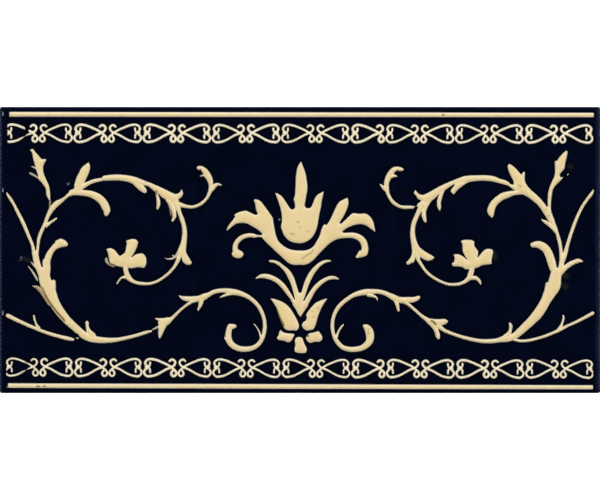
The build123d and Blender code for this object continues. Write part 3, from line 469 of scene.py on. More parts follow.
centreStems = {
    "upperFrondLeft": [(-10, -3.7, .4), (-9, -3.8, .47), (-7.45, -4.35, .58), (-5.7, -5.7, .65),
        (-4.15, -7.25, .86), (-3.05, -9.15, .97), (-2.2, -11.35, .88), (-1.5, -13.6, .88), (-.9, -15.8, .95)],
    "lowerFrondLeft": [(-14.8, -9.5, .15), (-13.45, -8.85, .57), (-11.4, -8.75, .82), (-9.4, -9.3, .87),
        (-7.4, -10.4, .87), (-5.6, -12.1, .87), (-4.1, -14.1, .77), (-2.9, -15.9, .62), (-1.95, -17.5, .62)],
    "upperFrondRight": [(10.1, -3.65, .28), (8.75, -3.75, .47), (7.1, -4.45, .65), (5.45, -5.85, .76),
        (4.15, -7.4, .87), (3.05, -9.3, .92), (2.2, -11.3, .88), (1.45, -13.6, .82), (.7, -15.8, .85)],
    "lowerFrondRight": [(13.1, -9.8, .12), (12, -9.35, .45), (10.25, -9.25, .62), (8.65, -9.8, .67),
        (6.9, -10.9, .77), (5.3, -12.4, .82), (4.1, -14, .82), (3, -15.9, .92), (1.75, -18.1, .92)],
}

for shapes in (leftStems, rightStems, centreStems):
    for points in shapes.values():
        addShape(points)
for shapes in (leftLeaves, rightLeaves, centreLeaves):
    for points in shapes.values():
        addShape(points, closed=True)
for shapes in (leftAsh, rightAsh):
    for strength, points in shapes.values():
        addShape(points, ashy=strength)
# brown flanks: painted shade and stained glaze
for strength, points in leftStainedAndShadedFlanks.values():
    addShape(points, stainAndShadeAmount=strength)
print("leaf scrolls and palmette drawn")

bars = {  # middle line and half width of the plain bands
    "top": [(-96.95, 45.24, .83), (0, 45.11, .82), (98, 45, .78)],
    "bottom": [(-97.4, -45.2, .79), (0, -45.51, .82), (97.7, -45.77, .72)],
}
barReach = 4.0  # how far above and below a band its distance is worked out
for run in bars.values():
    run = np.array(run)
    lowSide, highSide = run[:, :2] + run[:, 2:] * (0, -1), run[:, :2] + run[:, 2:] * (0, 1)
    r = gridWindow(run, barReach)[0]
    outline = np.vstack([lowSide, highSide[::-1]])
    distance[r] = np.minimum(distance[r], leafDistance(gridX[r], gridY[r], outline))

chain = {
    "count": 17,
    "seamAfter": 11,
    "halfWidth": 0.45,
    "serifHalfWidth": 0.37,
    "joinHalfWidth": 0.55,
    "start": -98.67,  # the first heart's left side
    "pitch": 11.55,
    # the height of the crossings, and how far the hearts are off their pitch, at three places
    "level": {"top": (39.15, 39.03, 38.85), "bottom": (-38.8, -39.22, -39.5)},
    "levelAt": (-halfX, -12, halfX),
    "drift": {"top": (-.02, -.2, .22), "bottom": (.17, -.02, .44)},
    "driftAt": (-93, -12, 93),
    "wobble": (0.03, 0.03),  # how much a heart's height and stroke vary
    "leftEnd": {"top": -97.55, "bottom": -98.0},
    "thinner": {"top": 0.0, "bottom": 0.03},
    # one heart, from its side, with its height over the crossings
    "upper": [(1.1, -.85), (2.1, -.05), (3.1, .63), (4.3, 1.21), (5.6, 1.77), (7, 2.31), (8.3, 2.6), (9.4, 2.6),
        (10.25, 2.25), (10.72, 1.6), (10.66, .9), (10.2, .35), (9.6, 0)],
    "ring": [(1.1, -.85), (1.63, -1.28), (1.95, -1.75), (2.03, -2.35), (1.78, -2.85), (1.2, -3.03),
        (.62, -2.75), (.38, -2.15), (.55, -1.5), (1.1, -.85)],
    "lower": [(2.58, 2.03), (2.2, 2.4), (1.5, 2.45), (.93, 2.08), (.74, 1.4), (1, .7), (1.75, .12), (2.7, -.35),
        (3.7, -.75), (4.8, -1.35), (6.1, -2.1), (7.4, -2.7), (8.9, -3.05), (10.15, -3.05), (10.93, -2.4),
        (11.13, -1.6), (10.65, -.8), (9.8, -.2)],
    "serifs": [[(9.12, 1.5), (9.15, .9), (9.3, .4), (9.7, .05)],
        [(9.15, -1.75), (9.15, -1.1), (9.3, -.5), (9.7, -.1)]],
    # the glaze has run together where the strokes cross
    "joins": [[(1.85, -.15), (2.55, 0)], [(9.85, -.05), (10.45, -.05)]],
}


def addChain(rowSlice, key, wobble):
    # Every column is folded into its own heart: u runs from the curls' side to the threes' side,
    # and v is measured from the line of the crossings. One heart's outline then serves the row.
    start, pitch = chain["start"], chain["pitch"]
    x, y = gridX[rowSlice], gridY[rowSlice]
    place = (x - np.interp(x, chain["driftAt"], chain["drift"][key]) - start) / pitch
    index = np.clip(np.floor(place), 0, chain["count"] - 1).astype(int)
    turned = (index + (index >= chain["seamAfter"])) % 2
    along = (place - index) * pitch
    u = np.where(turned == 1, along, pitch - along)
    v = y - np.interp(x, chain["levelAt"], chain["level"][key]) - wobble[index, 0]
    best = np.full(x.shape, drawing["far"])
    strokes = [(chain[part], chain["halfWidth"]) for part in ("upper", "ring", "lower")]
    strokes += [(points, chain["serifHalfWidth"]) for points in chain["serifs"]]
    strokes += [(points, chain["joinHalfWidth"]) for points in chain["joins"]]
    for points, half in strokes:
        run = smoothRun([(a, b, half) for a, b in points], corner=200)  # nowhere sharp
        best = np.minimum(best, stemDistance(u, v, run))
    best = np.maximum(best + wobble[index, 1] + chain["thinner"][key], chain["leftEnd"][key] - x)
    outside = x - start - pitch * chain["count"]
    best = np.where(outside > 0, np.maximum(best, outside), best)
    distance[rowSlice] = np.minimum(distance[rowSlice], best)


for key, rowSlice in (("bottom", slice(0, lowEdge)), ("top", slice(highEdge, len(rows)))):
    addChain(rowSlice, key, random.normal(0, chain["wobble"], (chain["count"], 2)))
print("bars and chains drawn")

flawsAndShade = {
    # where the relief failed: x, y, radius, how much of the outline is lost
    "lost": [(-91, 40.35, .5, 1.4), (-91.7, 37.9, 1.4, .3), (-91, -37.8, .8, .1), (-91.3, -39.8, 1.2, .23),
        (-75.2, -28.7, .35, .5), (-74.1, -28.4, .5, .5), (-22, 11.35, .35, .25)],
    # runs of brown in the cream, glaze flaws and painted shade along shaded flanks: x, y, half width
    "brown": [[(-86, -12.5, .12), (-84, -16.5, .2), (-81.5, -20, .18), (-78.5, -23.5, .15)],
        [(-8.05, -19.2, .15), (-6.85, -22.3, .2), (-5.45, -25, .15)],
        [(43.8, -23.6, .2), (44.3, -23.8, .2), (45.2, -24.7, .17)], [(-87.6, -45.4, .12), (-86.9, -45.4, .12)],
        [(-85.5, -45.4, .1), (-84.9, -45.4, .1)], [(47.5, 45, .12), (47.9, 45, .12)],
        [(2.55, -28.6, .22), (2.8, -28.6, .22)], [(-3.3, -16.6, .14), (-3.4, -17.2, .14), (-2.8, -17.6, .1)],
        [(-63.6, -4.5, .15), (-61.5, -5.4, .1), (-59.5, -5.8, .1)], [(-47.95, 19.6, .12), (-47.8, 18.7, .1)]],
    # the same, half as strong
    "faint": [[(.8, -2.8, .1), (2.5, -1.6, .14), (3.8, -.9, .12), (4.4, 0, .08)],
        [(22.8, -26.6, .14), (22.8, -26.5, .14)], [(22.8, -27.7, .14), (22.8, -27.6, .14)],
        [(5.8, -19.3, .1), (6, -19.3, .1)], [(4, -20.4, .1), (4.1, -20.4, .1)],
        [(4.4, -22.3, .1), (4.5, -22.3, .1)], [(-3.2, 5.5, .12), (-2.1, 5.2, .14)],
        [(-.8, 9.4, .12), (-.4, 9.3, .12)], [(2.7, 6.2, .1), (2.9, 6.2, .1)], [(-.1, 7.5, .08), (.1, 7.5, .08)],
        [(73, 21.6, .1), (73.6, 21.2, .12)], [(82, 13.7, .1), (82.1, 13.7, .1)],
        [(83, 11.5, .1), (83.1, 11.5, .1)], [(-91.6, -37.4, .1), (-90.9, -37.7, .2)]],
    # light specks and green-grey patches in the dark glaze; the olive patch beside the right flower, at x 65,
    # is a painted shadow
    "pale": [[(-99.2, 19.6, .1), (-99.2, 20.2, .1)], [(-99.2, -21.4, .1), (-99.2, -20.6, .1)],
        [(-99.2, 45, .1), (-99.2, 45.7, .1)], [(-93, -2.9, .02), (-92.9, -2.6, .02)],
        [(-6.85, 10.2, .04), (-6.85, 10.1, .04)], [(-2.8, -16.9, .1), (-2.8, -17, .1)],
        [(-77.3, 22, .01), (-76.9, 22.3, .01)]],
    "olive": [[(90, 28, .3), (90.2, 27.6, .3)], [(88.2, -8.3, .3), (88.9, -8.8, .3)],
        [(87.9, -11.7, .4), (88.6, -12.3, .4)], [(64.9, -1, .1), (65.1, -3, .1)],
        [(-92, -2.9, .2), (-90.6, -3.4, .2)]],
}
for x0, y0, radius, amount in flawsAndShade["lost"]:
    distance += amount * np.exp(-((gridX - x0) ** 2 + (gridY - y0) ** 2) / radius**2)


def markField(runs, soft):
    # 1 on each run, falling to 0 over the soft distance.
    field = np.zeros(gridX.shape)
    for points in runs:
        run = smoothRun(points)
        part = gridWindow(run, drawing["markReach"])
        d = stemDistance(gridX[part], gridY[part], run)
        field[part] = np.maximum(field[part], np.clip(1 - d / soft, 0, 1))
    return field


brown, faint, speck = (markField(flawsAndShade[key], drawing["markBlur"]) for key in ("brown", "faint", "pale"))
# the brown runs join the painted shade and stains
stainAndShade = np.maximum(stainAndShade, np.maximum(brown, 0.5 * faint))
olive = markField(flawsAndShade["olive"], drawing["oliveBlur"])

# Where a grid line crosses an outline, the nearer of its two points is moved onto the outline along
# the slope of the distance, so that outlines run smoothly and don't step from cell to cell. The
# points on the borders of the face pieces stay.
distance += tile["inset"]
slopeY, slopeX = np.gradient(distance, rows, columns)
steep = np.maximum(slopeX**2 + slopeY**2, 0.25)  # so that a flat place isn't moved far
near = np.zeros(distance.shape, bool)
whole, allButLast, allButFirst = slice(None), slice(0, -1), slice(1, None)
for first, second in (((whole, allButLast), (whole, allButFirst)), ((allButLast, whole), (allButFirst, whole))):
    crosses = (distance[first] < 0) != (distance[second] < 0)
    nearer = np.abs(distance[first]) <= np.abs(distance[second])
    near[first] |= crosses & nearer
    near[second] |= crosses & ~nearer
near[[0, lowEdge, highEdge, -1], :] = False
near[:, [0, splitAt[0], splitAt[1], -1]] = False
reach = tile["snap"] * tile["cell"]
gridX = gridX + np.clip(np.where(near, -distance * slopeX / steep, 0), -reach, reach)
gridY = gridY + np.clip(np.where(near, -distance * slopeY / steep, 0), -reach, reach)
distance = np.where(near, 0, distance)

relief = {
    "flank": 0.2,  # length over which the relief rises from its outline, and its share of the height
    "flankShare": 0.84,
    "crown": 1.0,  # the same for the slow rise to the middle of broad leaves
    "crownShare": 0.16,
    "chainHeight": 0.8,  # the chain's height against the rest
    "chainRows": (34.9, 43.4),  # how far from the middle line the chain lies
    "rimHighlight": 0.26,  # lengths over which the painted rim highlight, the near-black ground beside the relief (pooled glaze and painted shade) and the tan painted shade fade
    "chainHighlight": 0.6,  # how pale the chain is painted at least, a painted highlight
    "poolAndShade": 0.55,
    "tanShadeStart": 0.4,
    "tanShadeEnd": 2.2,
    "tanShadeFlat": 0.2,  # how tan a place on the flat is, and how much more painted shade a lower side gets
    "tanShadeSlope": 0.8,
    "thinAndReflectedFrom": 97.6,  # the dark glaze is painted paler blue from here to the right edge, as thinner glaze and a painted reflection
    "thinAndReflectedLength": 2.4,
}


def fade(along, length):
    return np.exp(-along / length)


# The relief rises from its outline as one less an exponential, steep at the foot and soft at the
# shoulder, and broad leaves crown a little more than thin stems.
depth = np.maximum(-distance, 0)
chainLow, chainHigh = relief["chainRows"]
chainRows = (np.abs(gridY) > chainLow) & (np.abs(gridY) < chainHigh)
high = np.where(chainRows, relief["chainHeight"], 1.0) * (topZ - tile["faceZ"])
gridZ = tile["faceZ"] + high * (relief["flankShare"] * (1 - fade(depth, relief["flank"]))
                                + relief["crownShare"] * (1 - fade(depth, relief["crown"])))
print("relief height", round(gridZ.max() - tile["faceZ"], 3), "mm")


def thinAndReflectedAtRight(x):
    # How pale the dark glaze is painted near the right edge, as thinner glaze and a painted reflection, from 0
    # to 1, as a cube.
    return np.clip((x - relief["thinAndReflectedFrom"]) / relief["thinAndReflectedLength"], 0, 1) ** 3


# Painted shade: the lower sides are painted browner, behind their pale rims, as shade from the lamp at the top;
# broad flats get a little tan too.
tan = np.clip(relief["tanShadeFlat"] - relief["tanShadeSlope"] * slopeY, 0, 1)
tan = tan * (1 - fade(depth, relief["tanShadeStart"])) * fade(depth, relief["tanShadeEnd"]) * ~chainRows
attributes = {
    "inside": np.clip(-distance, -1, 3),  # how far inside an outline, in millimetres
    # painted highlight along every outline, and over the whole chain
    "rimHighlight": np.maximum(fade(depth, relief["rimHighlight"]), np.where(chainRows, relief["chainHighlight"], 0)),
    # near-black ground beside every outline: pooled glaze and painted shade
    "poolAndShade": fade(np.maximum(distance, 0), relief["poolAndShade"]),
    "tan": tan,
    "ash": ash,
    # painted shade on flanks and crevices, and brown stains
    "stainAndShade": stainAndShade,
    "speck": speck,
    "olive": olive,
    # paler blue at the right edge: thinner glaze and a painted reflection
    "edge": thinAndReflectedAtRight(gridX),
}


def meshFromArrays(name, points, quads, triangles, values, smooth):
    # Points are in millimetres. The quads come first, and as many of the faces as smooth says are
    # shaded smooth. Edges of the flat ones are marked sharp.
    mesh = bpy.data.meshes.new(name)
    mesh.vertices.add(len(points))
    mesh.vertices.foreach_set("co", (points / 1000).astype(np.float32).ravel())
    corners = np.concatenate([quads.ravel(), triangles.ravel()]).astype(np.int32)
    sizes = np.concatenate([np.full(len(quads), 4), np.full(len(triangles), 3)]).astype(np.int32)
    starts = np.cumsum(sizes) - sizes
    mesh.loops.add(len(corners))
    mesh.loops.foreach_set("vertex_index", corners)
    mesh.polygons.add(len(sizes))
    mesh.polygons.foreach_set("loop_start", starts.astype(np.int32))
    mesh.polygons.foreach_set("use_smooth", np.arange(len(sizes)) < smooth)
    mesh.update(calc_edges=True)
    edges = np.zeros(len(corners), np.int32)
    mesh.loops.foreach_get("edge_index", edges)
    sharp = np.zeros(len(mesh.edges), bool)
    sharp[edges[sizes[:smooth].sum():]] = True
    mesh.edges.foreach_set("use_edge_sharp", sharp)
    for key, value in values.items():
        layer = mesh.attributes.new(key, "FLOAT", "POINT")
        layer.data.foreach_set("value", np.asarray(value, np.float32).ravel())
    mesh.validate()
    piece = bpy.data.objects.new(name, mesh)
    bpy.context.scene.collection.objects.link(piece)
    return piece


def wallFans(ring, low, outward):
    # ring holds the four sides of a top border, counterclockwise from above, and low the four floor
    # corners. Each wall is a fan from the floor corner at its start, and closes at its end.
    faces = []
    for side in range(4):
        top = ring[side]
        a, b = low[side], low[(side + 1) % 4]
        fan = np.stack([np.full(len(top) - 1, a), top[1:], top[:-1]], 1)
        fan = np.vstack([fan, [[a, b, top[-1]]]])
        faces.append(fan if outward else fan[:, ::-1])
    return np.vstack(faces)


def gridQuads(m, n):
    index = np.arange(m * n).reshape(m, n)
    return np.stack([index[:-1, :-1], index[:-1, 1:], index[1:, 1:], index[1:, :-1]], -1).reshape(-1, 4)


def blockFans(index, flat):
    # A flat block keeps its outer points and its middle one, and is a fan round the middle.
    size = tile["block"]
    t = np.arange(size)
    ringRow = np.concatenate([0 * t, t, 0 * t + size, size - t])
    ringColumn = np.concatenate([t, 0 * t + size, size - t, 0 * t])
    r, c = np.nonzero(flat)
    ring = index[r[:, None] * size + ringRow, c[:, None] * size + ringColumn]
    middle = np.repeat(index[r * size + size // 2, c * size + size // 2][:, None], ring.shape[1], 1)
    return np.stack([middle, ring, np.roll(ring, -1, 1)], -1).reshape(-1, 3)


def faceSlab(name, r0, r1, c0, c1):
    # One closed piece of the face: the relief on top, four upright walls and a flat floor. Each
    # cell is cut along the diagonal whose ends differ less, which keeps outlines and ridges whole.
    part = (slice(r0, r1 + 1), slice(c0, c1 + 1))
    x, y, z, d = gridX[part] / seen, gridY[part] / seen, gridZ[part], distance[part]
    m, n = x.shape
    index = np.arange(m * n).reshape(m, n)
    size = tile["block"]
    p, q = (m - 1) // size, (n - 1) // size
    flat = np.ones((p, q), bool)
    for i in range(size + 1):
        for j in range(size + 1):
            flat &= d[i:i + p * size:size, j:j + q * size:size] > tile["blockClear"]
    covered = np.zeros((m - 1, n - 1), bool)
    covered[:p * size, :q * size] = np.kron(flat, np.ones((size, size), bool))
    a, b, c, e = index[:-1, :-1], index[:-1, 1:], index[1:, 1:], index[1:, :-1]
    rising = np.abs(d[:-1, :-1] - d[1:, 1:]) <= np.abs(d[:-1, 1:] - d[1:, :-1])
    halves = [np.stack(corner, -1)[mask & ~covered] for mask, corner in (
        (rising, (a, b, c)), (rising, (a, c, e)), (~rising, (a, b, e)), (~rising, (b, c, e)))]
    top = np.vstack(halves + [blockFans(index, flat)])
    corners = ((0, 0), (0, -1), (-1, -1), (-1, 0))
    floor = np.array([[x[i, j], y[i, j], tile["slabFloor"]] for i, j in corners])
    low = m * n + np.arange(4)
    ring = [index[0], index[:, -1], index[-1, ::-1], index[::-1, 0]]
    walls = np.vstack([wallFans(ring, low, True), low[[0, 2, 1]], low[[0, 3, 2]]])
    points = np.vstack([np.stack([x.ravel(), y.ravel(), z.ravel()], 1), floor])
    used, faces = np.unique(np.vstack([top, walls]), return_inverse=True)
    faces = faces.reshape(-1, 3)
    values = {key: np.append(value[part], np.zeros(4))[used] for key, value in attributes.items()}
    print(name, len(faces), "triangles")
    return meshFromArrays(name, points[used], np.zeros((0, 4), int), faces, values, len(top))


lastRow, lastColumn = len(rows) - 1, len(columns) - 1
facePieces = [
    faceSlab("lower_chain_band", 0, lowEdge, 0, lastColumn),
    faceSlab("upper_chain_band", highEdge, lastRow, 0, lastColumn),
    faceSlab("left_scroll_field", lowEdge, highEdge, 0, splitAt[0]),
    faceSlab("palmette_field", lowEdge, highEdge, splitAt[0], splitAt[1]),
    faceSlab("right_scroll_field", lowEdge, highEdge, splitAt[1], lastColumn),
]

body = {
    "grooves": 8,
    "groovePitch": 10.8,
    "grooveHalfWidth": 3.0,
    "grooveDepth": 1.2,
    "grooveEndLand": 9.0,
    "grooveDraft": 0.22,  # width of a groove's sloped side
    "groovePast": 0.5,  # how far past a groove the grid of the back has its next line
    "grooveCurve": 0.6,  # below 1 the side is steepest at its foot
    "grooveSteps": 16,  # steps of the grid across a groove
    "backColumns": (95.5, 98.2, 98.8, 99.1),  # grid lines of the back between its grooves and its edge
    "backRows": (45.5, 46.3, 46.7),
    "wallLevels": (6.2, 5.2, 4.0, 2.4),
    "arrisSteps": 8,
    "leftThinAndReflected": (99.0, 0.35, 0.5),  # where the glaze is painted paler at the left, as thinner glaze and a painted reflection, over what length, how much
    "topThinAndReflected": (46.7, 0.3, 0.08),
    "arrisFrom": 6.6,  # from here up, over this length, the edge loses its highlights
    "arrisLength": 0.4,
}


def clayBody(name):
    # The tile's edges and back as one closed shell, open only as the tray that the face pieces fill.
    # Each level is the same run of points round the tile, drawn in by its inset; the back is a grid
    # whose grooves are the distance to a round-ended slot.
    backX, backY = halfX - tile["footChamfer"], halfY - tile["footChamfer"]
    endX = halfX - body["grooveEndLand"]
    turnX = endX - body["grooveHalfWidth"]
    steps = body["grooveSteps"]
    ends = turnX + body["grooveHalfWidth"] * np.sin(np.radians(np.linspace(0, 90, steps // 2 + 1)))
    outer = [endX + body["groovePast"], *body["backColumns"], backX]
    right = np.concatenate([np.linspace(0, turnX, 7)[:-1], ends, outer])
    x = np.concatenate([-right[:0:-1], right])
    centres = (np.arange(body["grooves"]) - (body["grooves"] - 1) / 2) * body["groovePitch"]
    across = body["grooveHalfWidth"] * np.sin(np.radians(np.linspace(-90, 90, steps + 1)))
    past = body["grooveHalfWidth"] + body["groovePast"]
    inGroove = (centres[:, None] + np.concatenate([[-past], across, [past]])).ravel()
    outer = np.array([*body["backRows"], backY])
    y = np.unique(np.round(np.concatenate([-outer, inGroove, outer]), 4))
    gx, gy = np.meshgrid(x, y)
    m, n = gx.shape
    slot = np.full(gx.shape, halfX)
    for centre in centres:
        gap = np.hypot(np.maximum(np.abs(gx) - turnX, 0), gy - centre) - body["grooveHalfWidth"]
        slot = np.minimum(slot, gap)
    gz = body["grooveDepth"] * np.clip(-slot / body["grooveDraft"], 0, 1) ** body["grooveCurve"]
    index = np.arange(m * n).reshape(m, n)
    ring = np.concatenate([index[0, :-1], index[:-1, -1], index[-1, :0:-1], index[:0:-1, 0]])
    ringX, ringY = gx.ravel()[ring] / backX, gy.ravel()[ring] / backY

    def level(inset, z):
        hx, hy = halfX - inset, halfY - inset
        r = max(tile["cornerRadius"] - inset, 0.0)
        px, py = ringX * hx, ringY * hy
        dx, dy = np.maximum(np.abs(px) - (hx - r), 0), np.maximum(np.abs(py) - (hy - r), 0)
        turning = (dx > 1e-9) & (dy > 1e-9)
        shrink = np.where(turning, r / np.maximum(np.hypot(dx, dy), 1e-9), 1)
        px = np.where(turning, np.sign(px) * (hx - r + dx * shrink), px)
        py = np.where(turning, np.sign(py) * (hy - r + dy * shrink), py)
        return np.stack([px, py, np.full(len(px), z)], 1)

    turn = np.radians(np.linspace(0, 90, body["arrisSteps"] + 1))
    levels = [level(tile["arris"] * (1 - np.sin(a)), tile["faceZ"] - tile["arris"] * (1 - np.cos(a)))
              for a in turn]
    levels += [level(0, z) for z in (*body["wallLevels"], tile["footChamfer"])]
    back = np.stack([gx.ravel(), gy.ravel(), gz.ravel()], 1)
    back[ring] = level(tile["footChamfer"], 0.0)
    count = len(ring)
    rings = [m * n + k * count + np.arange(count) for k in range(len(levels))] + [ring]
    quads = [gridQuads(m, n)[:, ::-1]]
    for upper, lower in zip(rings[:-1], rings[1:]):
        quads.append(np.stack([lower, np.roll(lower, -1), np.roll(upper, -1), upper], 1))
    low = m * n + count * len(levels) + np.arange(4)
    corner = np.array([[-faceX, -faceY], [faceX, -faceY], [faceX, faceY], [-faceX, faceY]])
    floor = np.column_stack([corner, np.full(4, tile["slabFloor"])])
    marks = [0, n - 1, n + m - 2, 2 * n + m - 3, count]
    top = np.append(rings[0], rings[0][0])
    sides = [top[marks[k]:marks[k + 1] + 1] for k in range(4)]
    quads.append([low])
    quads = np.vstack(quads)
    points = np.vstack([back] + levels + [floor])
    px, py, pz = points.T
    # paler blue on the edges: thinner glaze and a painted reflection
    thinAndReflected = thinAndReflectedAtRight(px)
    for along, (start, length, most) in ((-px, body["leftThinAndReflected"]), (py, body["topThinAndReflected"])):
        thinAndReflected = np.maximum(thinAndReflected, most * np.clip((along - start) / length, 0, 1))
    arris = np.clip((pz - body["arrisFrom"]) / body["arrisLength"], 0, 1)
    values = {"edge": thinAndReflected, "arris": arris}
    return meshFromArrays(name, points, quads, wallFans(sides, low, False), values, len(quads) - 1)


clay = clayBody("clay_body")
print("clay body built")


def newMaterial(name):
    material = bpy.data.materials.new(name)
    material.use_nodes = True
    tree = material.node_tree
    shader = tree.nodes["Principled BSDF"]
    return material, tree, shader


def addNode(tree, kind, inputs=None, **settings):
    node = tree.nodes.new(kind)
    for key, value in settings.items():
        setattr(node, key, value)
    for key, value in (inputs or {}).items():
        if isinstance(value, bpy.types.NodeSocket):
            tree.links.new(value, node.inputs[key])
        else:
            node.inputs[key].default_value = value
    return node


def attribute(tree, name):
    return addNode(tree, "ShaderNodeAttribute", attribute_name=name).outputs["Fac"]


def noise(tree, where, size, detail=3.0, rough=0.5):
    # Noise with features about this many millimetres across.
    settings = {"Vector": where, "Scale": 1000 / size, "Detail": detail, "Roughness": rough}
    return addNode(tree, "ShaderNodeTexNoise", settings).outputs["Fac"]


def spread(tree, value, low, high, outLow=0.0, outHigh=1.0):
    # Maps low to high onto outLow to outHigh, and holds the ends.
    settings = {"Value": value, "From Min": low, "From Max": high, "To Min": outLow, "To Max": outHigh}
    return addNode(tree, "ShaderNodeMapRange", settings).outputs["Result"]


def calc(tree, operation, a, b):
    return addNode(tree, "ShaderNodeMath", {0: a, 1: b}, operation=operation).outputs[0]


def blend(tree, factor, a, b):
    node = addNode(tree, "ShaderNodeMix", data_type="RGBA")
    for socket, value in ((node.inputs[0], factor), (node.inputs[6], a), (node.inputs[7], b)):
        if isinstance(value, bpy.types.NodeSocket):
            tree.links.new(value, socket)
        else:
            socket.default_value = (*value, 1) if isinstance(value, tuple) else value
    return node.outputs[2]


glaze = {
    "navy": (0.0006, 0.0019, 0.0088),
    "navyBlue": (0.0009, 0.0026, 0.0125),
    # pooled glaze and painted shade at the relief's foot
    "pooledAndShaded": (0.0004, 0.0003, 0.0008),
    # paler blue for thinner glaze and a painted reflection on the edges
    "thinAndReflected": (0.030, 0.040, 0.100),
    "pale": (0.24, 0.25, 0.29),
    "olive": (0.010, 0.012, 0.008),
    "cream": (0.795, 0.640, 0.318),
    "creamPink": (0.79, 0.608, 0.335),
    "creamYellow": (0.79, 0.645, 0.285),
    # painted highlight: near white for the rims of the relief
    "creamHighlight": (0.94, 0.910, 0.790),
    # painted shade: tan for the lower sides of the relief
    "creamTanShade": (0.66, 0.49, 0.22),
    # brown for stains, for painted shade on flanks, and for the fringe under the glaze line
    "brown": (0.20, 0.125, 0.035),
    "ash": (0.40, 0.375, 0.285),
    "clay": (0.640, 0.520, 0.375),
    "clayPale": (0.72, 0.625, 0.49),
    "clayStain": (0.40, 0.30, 0.20),
    "creamEdge": (0.035, 0.095),  # from dark to cream, in millimetres inside an outline
    "darkGloss": 0.12,  # roughness of each surface
    "creamGloss": 0.34,
    "edgeGloss": 0.13,
    "clayRough": 0.85,
    "pooledAndShadedShare": 0.9,  # how strongly each colour shows
    "rimHighlightShare": 0.85,
    "tanShadeShare": 0.6,
    "speckleShare": 0.5,
    "fringeShare": 0.55,
    "line": (0.0048, 0.0052),  # height in metres where the glaze ends, and of the brown fringe under it
    "fringe": (0.0040, 0.0050),
    "waver": 0.0011,
    "faceBump": (0.35, 0.0001),  # strength, and height in metres
    "bodyBump": (0.5, 0.00015),
}
patches = {  # how large, in millimetres, each cloud or grain is
    "cloud": 9.0,
    "thinAndReflected": 5.0,
    "cream": 4.5,
    "yellow": 1.6,
    "ripple": 7.0,
    "grain": 0.7,
    "line": 14.0,
    "speckle": 0.6,
    "clay": 12.0,
    "clayGrain": 0.9,
}


def times(tree, a, b):
    return calc(tree, "MULTIPLY", a, b)


def addBump(tree, shader, height, bump):
    strength, distance = bump
    node = addNode(tree, "ShaderNodeBump", {"Height": height, "Strength": strength, "Distance": distance})
    tree.links.new(node.outputs["Normal"], shader.inputs["Normal"])


def navyGlaze(tree, where, thinAndReflectedAmount):
    # Blue-black that clouds a little, and paler blue where it is thin and where a reflection is painted on the
    # edges.
    cloud = spread(tree, noise(tree, where, patches["cloud"], 4.0, 0.6), 0.42, 0.66)
    colour = blend(tree, cloud, glaze["navy"], glaze["navyBlue"])
    patchy = times(tree, thinAndReflectedAmount, spread(tree, noise(tree, where, patches["thinAndReflected"]), 0.3, 0.7, 0.6, 1.0))
    return blend(tree, patchy, colour, glaze["thinAndReflected"])


def glazedFace():
    material, tree, shader = newMaterial("glazed_face")
    where = addNode(tree, "ShaderNodeTexCoord").outputs["Object"]
    cream = spread(tree, attribute(tree, "inside"), *glaze["creamEdge"])
    # paler blue at the edges: thinner glaze and a painted reflection
    ground = navyGlaze(tree, where, attribute(tree, "edge"))
    # near-black beside the relief: pooled glaze and painted shade
    ground = blend(tree, times(tree, attribute(tree, "poolAndShade"), glaze["pooledAndShadedShare"]), ground, glaze["pooledAndShaded"])
    # green-grey patches, one of them a painted shadow beside the right flower
    ground = blend(tree, attribute(tree, "olive"), ground, glaze["olive"])
    ground = blend(tree, attribute(tree, "speck"), ground, glaze["pale"])
    pinkish = spread(tree, noise(tree, where, patches["cream"]), 0.35, 0.65)
    raised = blend(tree, pinkish, glaze["creamPink"], glaze["cream"])
    yellowish = spread(tree, noise(tree, where, patches["yellow"], 4.0), 0.52, 0.72)
    raised = blend(tree, yellowish, raised, glaze["creamYellow"])
    # painted highlight along the outlines
    raised = blend(tree, times(tree, attribute(tree, "rimHighlight"), glaze["rimHighlightShare"]), raised, glaze["creamHighlight"])
    # painted shade: tan on the lower sides
    raised = blend(tree, times(tree, attribute(tree, "tan"), glaze["tanShadeShare"]), raised, glaze["creamTanShade"])
    raised = blend(tree, attribute(tree, "ash"), raised, glaze["ash"])
    # painted shade on flanks and crevices, and brown stains
    raised = blend(tree, attribute(tree, "stainAndShade"), raised, glaze["brown"])
    tree.links.new(blend(tree, cream, ground, raised), shader.inputs["Base Color"])
    gloss = spread(tree, cream, 0.0, 1.0, glaze["darkGloss"], glaze["creamGloss"])
    tree.links.new(gloss, shader.inputs["Roughness"])
    ripple = times(tree, noise(tree, where, patches["ripple"], 2.0), 0.5)
    grain = times(tree, noise(tree, where, patches["grain"]), times(tree, cream, 0.5))
    addBump(tree, shader, calc(tree, "ADD", ripple, grain), glaze["faceBump"])
    return material


